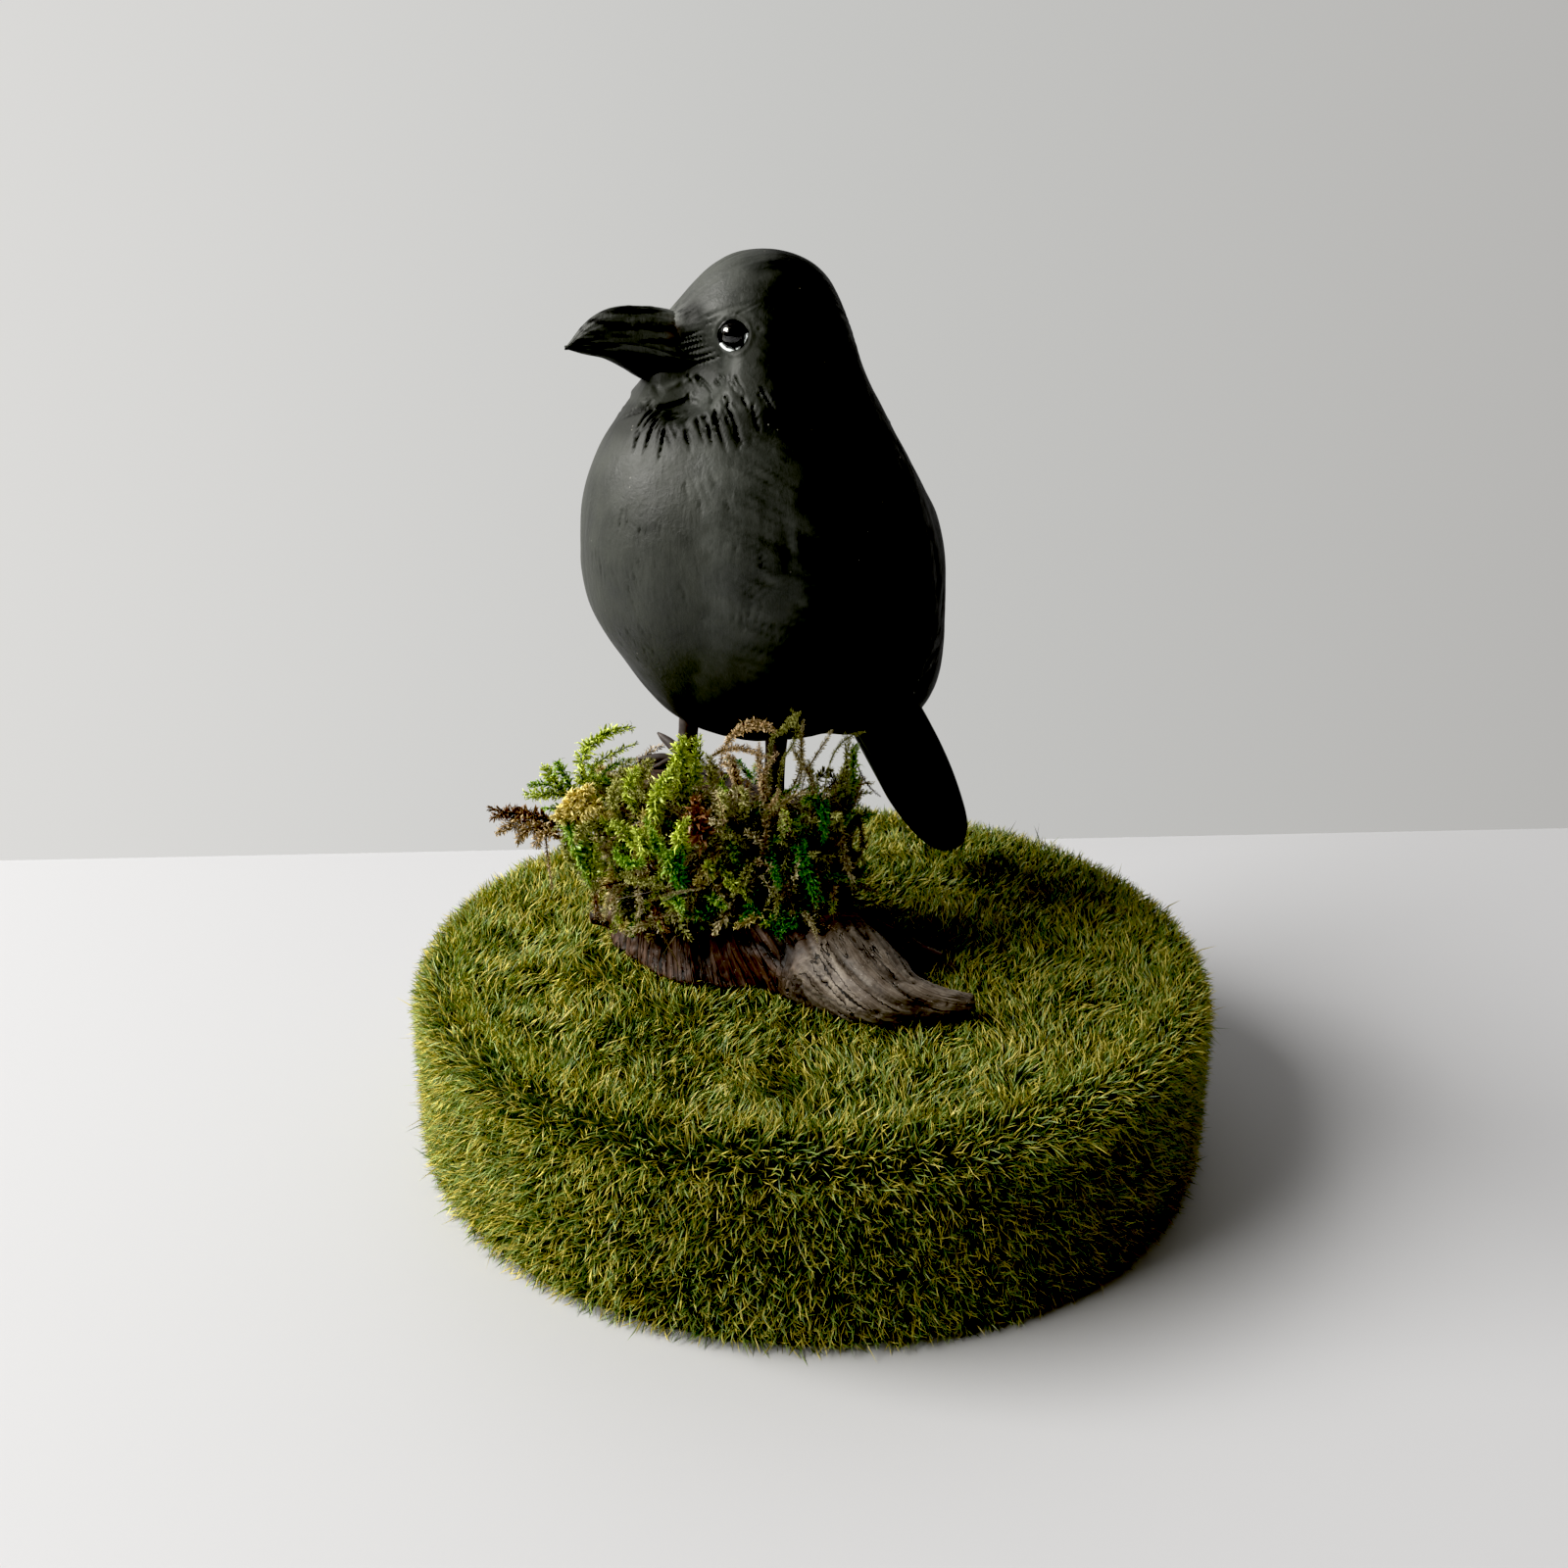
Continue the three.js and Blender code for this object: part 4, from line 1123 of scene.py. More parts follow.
def painted_beak_light(points):
    """Painted highlights in lengthwise streaks on the beak, weaker low on its side and below the
    gape.
    """
    ahead, left, up = from_skull(points)
    streaks = wander(together(ahead / 8, left / 0.7, up / 0.45), 36) \
        + 0.5 * wander(together(ahead / 5, left / 0.4, up / 0.22), 37)
    streaks = np.clip(0.6 + 1.4 * streaks, 0.04, 1.2) * (0.4 + 0.6 * smoothstep(up, -2.6, -1.4))
    jaw, gape = (np.interp(ahead, np.linspace(BEAK["root"], BEAK["tip"], len(line)), line)
                 for line in (JAW, GAPE))
    share = smoothstep(ahead, 9.0, 12.0) * smoothstep(up - jaw, -0.6, 0)
    streaks = streaks * (0.35 + 0.65 * smoothstep(up - gape, -0.5, 0.1))
    return share * (1 - smooth_chin(points)), streaks


def burnish_and_painted_light_share(points):
    """1 on the breast and face, which the window lights: painted light in the colour, and a thumb's
    burnish in the gloss; 0 on the dull back.

    Body and head are blended by height, and the beak by its place ahead.
    """
    ahead, left, up = from_skull(points)
    patchy = 0.5 * wander(points / 4, 31) + 0.3 * wander(points / 1.6, 32)
    streaky = wander(together(ahead / 5, left / 0.9, up / 2.2), 33)
    low_face = 1.8 * smoothstep(up, -9, -3)
    on_head = smoothstep(ahead + 2.2 * patchy + 1.6 * streaky + low_face - 1.8, -1.2, 6.4)
    on_body, slanting = painted_body_light(points, patchy)
    # Painted highlights on the chin's crumbs, and the strokes' painted shade and highlights below
    # the chin.
    crumbs = np.min([gap(points, place) for place in skin_seen(CRUMBS_SEEN)], axis=0)
    painted_light = painted_stroke_shade(points) * slanting + 0.8 * bell(crumbs, 0.45)
    share = smoothstep(points[:, 2], 88, 96)
    clay = 0.76 * share * on_head + (1 - share) * on_body
    clay = clay * painted_light * (1 - 0.65 * painted_face_shade(points))
    beak, on_beak = painted_beak_light(points)
    return beak * on_beak + (1 - beak) * clay


def beak_wash(points):
    """Brown wash at the root of the upper beak, in patches."""
    ahead, _, up = from_skull(points)
    patchy = np.clip(0.5 + 0.9 * wander(points / 0.9, 23), 0, 1)
    return 0.8 * bell(ahead - 11.9, 0.8) * bell(up - 1.2, 1.1) * patchy


def beak_and_painted_face_shade(points):
    """1 on the beak, whose clay is blacker than the rest, 0.9 in the painted shade on the face, and
    half on the chin.
    """
    ahead, chin = from_skull(points)[0], smooth_chin(points)
    beak = smoothstep(ahead + 0.8 * wander(points / 1.5, 24), 11.5, 13.5) * (1 - chin)
    mottled = np.clip(0.8 + 0.6 * wander(points / 0.9, 25), 0.35, 1)
    return np.max([beak, 0.9 * painted_face_shade(points), 0.5 * mottled * chin], axis=0)


# The burnish share carries painted light and sheen, and the beak's share painted shade on the face.
for name, share_of in (("burnish", burnish_and_painted_light_share), ("wash", beak_wash), ("beak", beak_and_painted_face_shade)):
    share = share_of(mesh_points(crow_mesh))
    paint(crow_mesh, name, share)
    print(name, "share on average:", round(share.mean(), 3))
crow_mesh.polygons.foreach_set("use_smooth", np.ones(len(crow_mesh.polygons), bool))
crow_mesh.set_sharp_from_angle(angle=math.radians(55))
show_piece("crow_clay", crow_mesh, black_clay(), "crow")

# %% [markdown]
# ## Glass eyes
# Each eye is a taxidermist's bead: a clear glass dome over a painted iris. The glass is a ball of
# its own with plain see-through values, and the iris is a smaller dome sealed in it: a black pupil,
# a dark grey-brown ring with fine radial lines, and a black edge. A thin lumpy ring round the bead
# is its glued edge. Painted highlights glow on it in broken pieces along the bottom, where the bead
# would gather the window's light.

# %% Eyes
IRIS_RADIUS = 0.86 * BEAD_RADIUS
RIM = {"forward": 0.42, "radius": 1.06 * BEAD_RADIUS, "thick": 0.13, "around": 72, "sides": 8}


def ball(centre, radius, axis, rings=18, around=36):
    """Rings from one end of the axis to the other: radius times sine and cosine of the latitude."""
    side = unit(np.cross(axis, [0.1, 0.2, 1.0]))
    rise = np.cross(axis, side)
    latitude = np.linspace(0, np.pi, rings + 2)[1:-1, None, None]
    turn = full_turn(around)[None, :, None]
    out = np.sin(latitude) * (np.cos(turn) * side + np.sin(turn) * rise)
    return centre + radius * (out - np.cos(latitude) * axis)


def rim_ring(centre, gaze):
    """A closed ring square to the gaze: radius plus thick times the cosine of a second turn."""
    around, sides = RIM["around"], RIM["sides"]
    turn, roll = full_turn(around)[:, None], full_turn(sides)[None, :]
    side = unit(np.cross(gaze, HEAD[2]))
    out = np.cos(turn)[..., None] * side + np.sin(turn)[..., None] * np.cross(side, gaze)
    lumpy = RIM["thick"] * (1 + 0.25 * wander_on(turn * 3 + 0 * roll, 0, 4))
    grid = centre + out * (RIM["radius"] + lumpy * np.cos(roll))[..., None] \
        + (lumpy * np.sin(roll))[..., None] * gaze
    ring, place = np.meshgrid(np.arange(around), np.arange(sides), indexing="ij")
    following = (ring + 1) % around * sides
    corners = [ring * sides + place, following + place, following + (place + 1) % sides,
               ring * sides + (place + 1) % sides]
    return grid.reshape(-1, 3), np.stack(corners, -1).reshape(-1, 4)


# %% Finishes of the eyes
def eye_glass():
    """Clear polished glass: it bends light and mirrors the window in one sharp spot."""
    material, tree, surface = new_material("clear eye glass")
    fill_inputs(tree, surface, {"Base Color": "#f4f6f6", "Roughness": 0.02, "IOR": 1.5,
                                "Transmission Weight": 1.0})
    return material


def painted_glints_on_bead_edge():
    """Painted highlights on the glued edge: the window's light that a bead gathers in its lower
    edge, painted on in broken pieces between dull glue.

    The pieces are 0.8 mm long. They glow a little, because so thin a ring catches too few rays.
    """
    material, tree, surface = new_material("bright edge of the glass bead")
    place = add_node(tree, "TexCoord", output="Object")
    broken = add_node(tree, "TexNoise", {"Vector": place, "Scale": 1300.0, "Detail": 2.0})
    # The low share is where the highlight is painted: along the ring's bottom.
    low = add_node(tree, "Attribute", output="Fac", attribute_name="low")
    piece = add_node(tree, "Math", [broken, low], operation="MULTIPLY")
    colour = add_node(tree, "ValToRGB", [piece], stops=[(0.4, "#121312"), (0.5, "#e4e8e4")])
    fill_inputs(tree, surface, {"Base Color": colour, "Emission Color": colour,
                                "Emission Strength": 1.0, "Roughness": 0.2})
    return material


def iris_enamel():
    """Glossy enamel in rings: black pupil, dark grey-brown iris, black edge."""
    material, tree, surface = new_material("painted iris")
    out, lines = (add_node(tree, "Attribute", output="Fac", attribute_name=name)
                  for name in ("out", "lines"))
    rings = [(0.0, "#020202"), (0.56, "#030303"), (0.62, "#35322f"), (0.8, "#2a2725"),
             (0.9, "#060606"), (1.0, "#030303")]
    ring = add_node(tree, "ValToRGB", [out], stops=rings)
    pale = add_node(tree, "ValToRGB", [lines], stops=[(0.2, "#7d7d7d"), (0.8, "#ffffff")])
    colour = add_node(tree, "Mix", {0: 1.0, 6: ring, 7: pale}, 2, data_type="RGBA",
                      blend_type="MULTIPLY")
    fill_inputs(tree, surface, {"Base Color": colour, "Roughness": 0.25})
    return material


# %% Set the eyes
def iris_dome(side, gaze):
    """The iris, with each point's share of the radius and its noise along the radial lines."""
    seated = EYES[side] - 0.1 * gaze
    iris = skin_mesh(f"eye_{side}_iris", [ball(seated, IRIS_RADIUS, gaze)])
    offset = mesh_points(iris) - seated
    out = gap(offset, np.outer(offset @ gaze, gaze)) / IRIS_RADIUS
    turn = np.arctan2(offset @ HEAD[2], offset @ HEAD[0])
    paint(iris, "out", np.where(offset @ gaze > 0, out, 1.0))
    lines = wander(together(np.cos(turn) * 5, np.sin(turn) * 5, out * 1.5), 3)
    paint(iris, "lines", 0.5 + 0.5 * lines)
    return iris


def bead_edge(side, gaze):
    """The ring of glue, with 1 along its bottom, which faces down and a little ahead: where its
    highlight is painted.
    """
    points, quads = rim_ring(EYES[side] + RIM["forward"] * gaze, gaze)
    rim = make_mesh(f"eye_{side}_edge", points, (quads,))
    offset = points - EYES[side]
    turn = np.degrees(np.arctan2(offset @ HEAD[0], -offset @ HEAD[2]))
    paint(rim, "low", 1.06 - 0.66 * smoothstep(np.abs(turn + 22), 70, 100))
    return rim


glass, enamel, edge = eye_glass(), iris_enamel(), painted_glints_on_bead_edge()
for side, gaze in GAZE.items():
    bead = skin_mesh(f"eye_{side}_glass", [ball(EYES[side], BEAD_RADIUS, gaze)])
    for mesh, look in ((bead, glass), (iris_dome(side, gaze), enamel),
                       (bead_edge(side, gaze), edge)):
        show_piece(mesh.name, mesh, look, f"eye_{side}")

# %% [markdown]
# ## Stump and roots
# The stump is brown clay. Its foot is scored with bark grooves that run down and swing into the
# roots; the long root in front twists as it tapers and is dry-brushed grey, with painted glints.
# The grooves are darkened with painted shade. The stub and its roots are made as plain rods first.
# Remeshing them together gives one skin with soft joins, and the grooves are then pressed into it
# as noise stretched along the grain.

# %% Stump shape
DRUM_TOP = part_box("turf_base")[1].z / MM
STUMP = {"centre": np.array([-11.0, -1.5]), "long_axis": -27, "base": (13.5, 10),
         "top": (12.4, 8.9)}
STUMP_TOP = {"height": 45.9, "fall": 2.2, "over": 6, "back": 0.08, "chip": 0.4}
SWELLS = [(178, 3.2, 34), (248, 4.2, 38), (300, 2.6, 26), (20, 2.4, 30), (95, 2.2, 36)]
ROOTS = [
    {"path": [(-4, -8, 30), (3.4, -15.6, 28), (8.6, -20.8, 27.2), (13, -22.6, 27), (19, -22.8, 27)],
     "wide": [9, 7.2, 5.4, 2.9, 1.1], "high": [8, 5.6, 4.2, 2.6, 1]},
    {"path": [(-3, -2, 30), (6, -6.5, 28), (12, -9.5, 27.2), (16.5, -10.5, 26.8)],
     "wide": [5, 3.4, 2.2, 0.8], "high": [5, 3, 2, 0.9]},
    {"path": [(-16, 1, 30), (-24, 2.2, 27.6), (-29.5, 1.6, 26.8)],
     "wide": [5, 3.2, 0.9], "high": [5, 2.6, 0.9]},
    {"path": [(-12, 4, 30), (-15, 11.5, 27.6), (-18.5, 17, 26.8)],
     "wide": [4.5, 2.8, 0.8], "high": [5, 2.6, 0.9]},
]
BURIED = 1.2
STUMP_MIDDLE = np.array([*STUMP["centre"], 0])


def oval_radius(turn, sizes):
    """The radius of an oval at each turn: 1 over the length of (cos / long, sin / short)."""
    angle = turn - math.radians(STUMP["long_axis"])
    return 1 / np.hypot(np.cos(angle) / sizes[0], np.sin(angle) / sizes[1])


def stump_top(x, y):
    """The broken top slopes down to the right as a soft step, and a little to the back."""
    slope = STUMP_TOP["fall"] * np.tanh((x - STUMP["centre"][0]) / STUMP_TOP["over"])
    return STUMP_TOP["height"] - slope - STUMP_TOP["back"] * (y - STUMP["centre"][1])


def stump_stub():
    """An oval stub: its radius shrinks upwards and swells at the foot where roots begin.

    The lid is four smaller rings of the broken top.
    """
    turn = full_turn(180)[None, :]
    level = np.linspace(0, 1, 48)[:, None]
    sizes = [base + (top - base) * level for base, top in zip(STUMP["base"], STUMP["top"])]
    out = oval_radius(turn, sizes) - 0.25
    for angle, swell, width in SWELLS:
        away = np.angle(np.exp(1j * (turn - math.radians(angle))))
        out = out + (1 - level) ** 3 * swell * bell(away, math.radians(width))
    x = STUMP["centre"][0] + out * np.cos(turn)
    y = STUMP["centre"][1] + out * np.sin(turn)
    rim = stump_top(x, y) + STUMP_TOP["chip"] * np.sin(5 * turn + 1)
    rings = [together(x, y, DRUM_TOP - BURIED + (rim - DRUM_TOP + BURIED) * level)]
    for share in (0.93, 0.8, 0.6, 0.3):
        xs = STUMP["centre"][0] + share * (x[-1:] - STUMP["centre"][0])
        ys = STUMP["centre"][1] + share * (y[-1:] - STUMP["centre"][1])
        rings.append(together(xs, ys, stump_top(xs, ys) + 0.15 * np.sin(9 * turn + 7 * share)))
    return np.concatenate(rings)


def root_rod(root):
    """Rings along a root's path: wide across, less high, standing upright."""
    t = np.linspace(0, 1, 60)
    centres = through(root["path"], t)
    side = unit(np.cross(UP, np.gradient(centres, axis=0)))
    turn = full_turn(60)[None, :, None]
    across = np.cos(turn) * side[:, None] * through(root["wide"], t)[:, None, None]
    rise = np.sin(turn) * UP * through(root["high"], t)[:, None, None]
    return centres[:, None] + across + rise


def remeshed(name, grids, voxel):
    """One clean skin round overlapping closed ones, as quads about one voxel wide, in millimetres.

    It is made a thousand times too large, because the modifier has a smallest voxel.
    """
    lump = add_object(name, skin_mesh(name, grids, MM))
    remesh = lump.modifiers.new("one skin", "REMESH")
    remesh.mode = "VOXEL"
    remesh.voxel_size = voxel
    soften = lump.modifiers.new("soften", "SMOOTH")
    soften.factor = 0.5
    soften.iterations = 6
    mesh = evaluated_mesh(name, lump)
    move_points(mesh, mesh_points(mesh) * MM)
    return mesh


stump_mesh = remeshed("stump_clay", [stump_stub(), *map(root_rod, ROOTS)], 0.4)
print("stump:", len(stump_mesh.polygons), "faces")

# %% Bark relief
STUB_GIRTH, ROOT_GIRTH, ROOT_LENGTH = 12.5, 4.6, 30


def grain_of(points):
    """Coordinates across and along the bark's grain, and each point's share of root.

    On the stub, across is the angle times its radius and along is the height. On the root in
    front, across is the angle round its middle line, twisted as it goes, and along is its length.
    """
    local = points[:, :2] - STUMP["centre"]
    turn = np.arctan2(local[:, 0], -local[:, 1])
    height = points[:, 2] - DRUM_TOP
    stub = np.stack([turn * STUB_GIRTH + 0.35 * height, height], 1)
    t = np.linspace(0, 1, 60)
    line = through(ROOTS[0]["path"], t)
    gaps = gap(points[:, None], line)
    nearest = gaps.argmin(1)
    tangent = unit(np.gradient(line, axis=0))[nearest]
    side = unit(np.cross(UP, tangent))
    offset = points - line[nearest]
    roll = np.arctan2(offset[:, 2], np.einsum("ij,ij->i", offset, side))
    length = t[nearest] * ROOT_LENGTH
    root = np.stack([roll * ROOT_GIRTH - 0.35 * length, length], 1)
    share = smoothstep(length, 4, 8) * fall(gaps.min(1), 8, 10)
    return stub, root, share


def grooves(grain, pitch, stretch, shift, width=0.3):
    """Sharp grooves between rounded ridges: minus the fold of stretched noise, in two sizes."""
    across, along = grain.T
    wide = np.abs(wander_on(across / pitch, along / stretch, shift))
    fine = np.abs(wander_on(across / (0.45 * pitch), along / stretch, shift + 2))
    return -np.clip(1 - wide / width, 0, 1) - 0.45 * np.clip(1 - fine / 0.35, 0, 1)


def bark_relief(points):
    """Grooves along the stub and finer ones along the root, weaker towards the broken top."""
    stub, root, share = grain_of(points)
    groove = (1 - share) * grooves(stub, 1.25, 10, 3) \
        + share * 0.7 * grooves(root, 1.0, 14, 8, 0.17)
    upward = smoothstep(points[:, 2], STUMP_TOP["height"] - 3.2, STUMP_TOP["height"] - 1.6)
    return 0.62 * groove * (1 - 0.7 * upward) + 0.16 * wander(points / 2.2, 4), groove, share


points = mesh_points(stump_mesh)
relief, groove, root_share = bark_relief(points)
points = points + point_vectors(stump_mesh.vertex_normals, "vector") * relief[:, None]
points[:, 2] = np.maximum(points[:, 2], DRUM_TOP - BURIED)
move_points(stump_mesh, points)
stub_grain, root_grain, _ = grain_of(points)
grain = root_share[:, None] * root_grain + (1 - root_share[:, None]) * stub_grain
# The groove share is where the clay's colour is darkened with painted shade.
paint(stump_mesh, "groove", np.clip(-groove, 0, 1))
paint(stump_mesh, "root", root_share)
paint(stump_mesh, "grain", np.concatenate([grain, root_share[:, None]], 1), is_place=True)
stump_mesh.polygons.foreach_set("use_smooth", np.ones(len(stump_mesh.polygons), bool))
print("deepest groove:", round(-relief.min(), 2), "mm")

# %% [markdown]
# ### Brown clay
# The stump is brown polymer clay, scored with a needle before baking, and the root in front is
# dry-brushed with pale grey. The eye sees dark lines and pale ridges, so two noises are read on
# the grain stored with the mesh, stretched eleven times along it: scratches 0.4 mm apart and
# long cuts 1.3 mm apart. The grooves and the long cuts are darkened with painted shade. Mottling
# is 2.4 mm wide and the painted glints are 0.5 mm apart.

# %% Clay of the stump
def bark_clay():
    """Brown clay with fine dark scratches along the grain, painted shade in its grooves and cuts
    and painted glints; the root is dry-brushed pale grey.
    """
    material, tree, surface = new_material("scored brown clay")
    place = add_node(tree, "TexCoord", output="Object")
    grain = add_node(tree, "Attribute", output="Vector", attribute_name="grain")
    along = add_node(tree, "Mapping", {"Vector": grain, "Scale": (1.0, 0.09, 1.0)})
    lines = add_node(tree, "TexNoise",
                     {"Vector": along, "Scale": 2.6, "Detail": 4.0, "Roughness": 0.7})
    swirl = add_node(tree, "TexNoise",
                     {"Vector": along, "Scale": 0.8, "Detail": 2.0, "Roughness": 0.5})
    near = add_node(tree, "Math", [swirl, 0.5], operation="SUBTRACT")
    near = add_node(tree, "Math", [near], operation="ABSOLUTE")
    cut = add_node(tree, "MapRange", [near, 0.02, 0.006])
    mottle = add_node(tree, "TexNoise",
                      {"Vector": place, "Scale": 420.0, "Detail": 5.0, "Roughness": 0.65})
    glint_spots = add_node(tree, "TexVoronoi", {"Vector": place, "Scale": 1900.0})
    both = add_node(tree, "Mix", {0: 0.62, 2: mottle, 3: lines}, data_type="FLOAT")
    colour = add_node(tree, "ValToRGB", [both],
                      stops=[(0.36, "#140c08"), (0.5, "#513a2e"), (0.64, "#8f7464")])
    brushed = add_node(tree, "ValToRGB", [both],
                       stops=[(0.34, "#382c24"), (0.49, "#74685c"), (0.68, "#b0a596")])
    root, groove = (add_node(tree, "Attribute", output="Fac", attribute_name=name)
                    for name in ("root", "groove"))
    # Painted shade in the grooves and the long cuts, and painted glints over the clay.
    groove = add_node(tree, "Math", [groove, cut], operation="MAXIMUM")
    painted_glint = add_node(tree, "MapRange", [glint_spots, 0.1, 0.05])
    for share, other in ((root, brushed), (groove, "#0d0705"), (painted_glint, "#d8d0c4")):
        colour = add_node(tree, "Mix", {0: share, 6: colour, 7: other}, 2, data_type="RGBA")
    bump = add_node(tree, "Bump", {"Height": both, "Strength": 0.7, "Distance": 0.0002})
    bump = add_node(tree, "Bump", {"Height": cut, "Strength": 0.8, "Distance": 0.00025,
                                   "Normal": bump}, invert=True)
    fill_inputs(tree, surface, {"Base Color": colour, "Normal": bump, "Roughness": 0.55})
    return material


show_piece("stump_clay", stump_mesh, bark_clay(), "stump")

# %% [markdown]
# ## Legs
# The legs are two thin rolls of grey-brown clay with four toes each, pressed onto the stump. The
# shank is lined where the clay was rolled, and each toe has a knuckle and runs out in a claw.

# %% Legs and toes
LEG = {"ahead": 4.4, "apart": 8.4, "radius": 1.2, "toe": 0.55, "ankle": 0.85}
TOES = {
    "right": [(182, 6.3, 0.1), (222, 5.6, -0.2), (262, 4.6, -0.4), (142, 5, 2.9)],
    "left": [(186, 4.6, 0.6), (222, 4.4, 0.3), (256, 4.2, -0.2), (42, 4.4, 0.2)],
}


def leg_grids(side):
    """A shank from the belly to the ankle, and a toe for each heading, length and rise.

    The shank's radius wanders with two noises, which gives it the wrinkles of rolled clay.
    """
    apart = LEG["apart"] if side == "left" else -LEG["apart"]
    hip = body_point(LEG["ahead"] - 1.2, apart * 0.97, 60.0)
    ankle = body_point(LEG["ahead"], apart, 0.0)
    ankle[2] = stump_top(ankle[0], ankle[1]) + LEG["ankle"]
    middle = (hip + ankle) / 2 + BODY[0] * 0.25
    shank = rod([hip, middle, ankle], LEG["radius"] * np.array([1.25, 1.08, 1.0]), 28, 40)
    centre = shank.mean(1, keepdims=True)
    wrinkle = 1 + 0.07 * wander(unit(shank - centre) * 3.2 + centre / 3, 6) \
        + 0.05 * wander(unit(shank - centre) * 7 + centre / 2, 7)
    grids = [centre + (shank - centre) * wrinkle[..., None]]
    for heading, length, rise in TOES[side]:
        tip = ankle + axes_of(heading)[0] * length
        ground = stump_top(tip[0], tip[1]) + LEG["ankle"]
        tip[2] = max(ground, ankle[2] - 0.6) + rise
        knuckle = (ankle + tip) / 2 + UP * 0.35
        path = [ankle, ankle * 0.6 + knuckle * 0.4, knuckle, knuckle * 0.4 + tip * 0.6, tip]
        grids.append(rod(path, LEG["toe"] * np.array([1.35, 1.05, 1.25, 0.85, 0.25]), 12, 26))
    return grids


def mottled_material(name, stops, roughness, dents=0.0, **noise):
    """A dull material: one noise picks its colour from a ramp, and dents it by 0.1 mm at most."""
    material, tree, surface = new_material(name)
    place = add_node(tree, "TexCoord", output="Object")
    mottle = add_node(tree, "TexNoise", {"Vector": place, **noise})
    colour = add_node(tree, "ValToRGB", [mottle], stops=stops)
    fill_inputs(tree, surface, {"Base Color": colour, "Roughness": roughness})
    if dents:
        bump = add_node(tree, "Bump", {"Height": mottle, "Strength": dents, "Distance": 0.0001})
        fill_inputs(tree, surface, {"Normal": bump})
    return material


# Grey-brown polymer clay, rolled by hand: dull, with mottling and dents 1.4 mm wide.
rolled = mottled_material("rolled grey-brown clay",
                          [(0.3, "#2c2624"), (0.55, "#4b423e"), (0.8, "#6b625d")],
                          0.6, 0.5, Scale=700.0, Detail=4.0)
for side in ("left", "right"):
    mesh = skin_mesh(f"leg_{side}_clay", leg_grids(side))
    show_piece(mesh.name, mesh, rolled, f"leg_{side}")

# %% [markdown]
# ## Moss
# The moss is real feather moss, dried and dyed, glued on in tufts. One shoot is a thin stem with
# pointed leaves a millimetre long all round it, folded along the middle and curled at the tip. Four
# triangles are enough for such a leaf, and all the leaves are worked out together as arrays. Some
# shoots follow the sprigs that stand out against the background; the rest creep over the collar.

# %% Where the moss is
MOSS = {"radii": (17, 13.2), "low": 33.2, "high": 50, "fall_back": 8}
# Each shade of moss: its colour at the foot of a leaf, dark with painted shade, and at the tip.
PALETTE = {
    "lime": ("#48601a", "#e2ee70"), "leaf": ("#32581a", "#c0e266"),
    "emerald": ("#1c3c14", "#6cb044"), "olive": ("#4a4c22", "#e0de8e"),
    "straw": ("#6c5c34", "#faeec0"), "tan": ("#52402a", "#eed2a2"),
    "brown": ("#2a1a0e", "#9c7850"), "gold": ("#7c682a", "#fcec9c"),
    "rust": ("#3a2618", "#b4865e"),
}


def moss_top(turn):
    """The collar's top falls away behind, with the sine of the turn, and dips on the right."""
    back, right = 0.5 + 0.5 * np.sin(turn), np.maximum(np.cos(turn + 0.4), 0)
    return MOSS["high"] - MOSS["fall_back"] * back ** 1.5 - 2.2 * right ** 2


def moss_bottom(turn):
    """The collar's bottom is lower on the left, and behind, with the sine of the turn."""
    left = smoothstep(-np.cos(turn - 0.2), 0.3, 0.9)
    return MOSS["low"] - 3.5 * left - 3 * np.maximum(np.sin(turn), 0)


def collar_place(turn, level, out):
    """A place on the moss collar: an oval times out, between its bottom and its top."""
    radius = oval_radius(turn, MOSS["radii"]) * out
    x = STUMP["centre"][0] + radius * np.cos(turn)
    y = STUMP["centre"][1] + radius * np.sin(turn)
    return together(x, y, moss_bottom(turn) + (moss_top(turn) - moss_bottom(turn)) * level)


# %% Shoots
def bezier(controls, t):
    """Places and directions on cubic curves: controls[shoot, 4, 3] read at t[shoot, step]."""
    t = t[..., None]
    a, b, c, d = (controls[:, k][:, None] for k in range(4))
    places = a * (1 - t) ** 3 + 3 * b * t * (1 - t) ** 2 + 3 * c * t ** 2 * (1 - t) + d * t ** 3
    slopes = (b - a) * (1 - t) ** 2 + 2 * (c - b) * t * (1 - t) + (d - c) * t ** 2
    return places, unit(slopes)


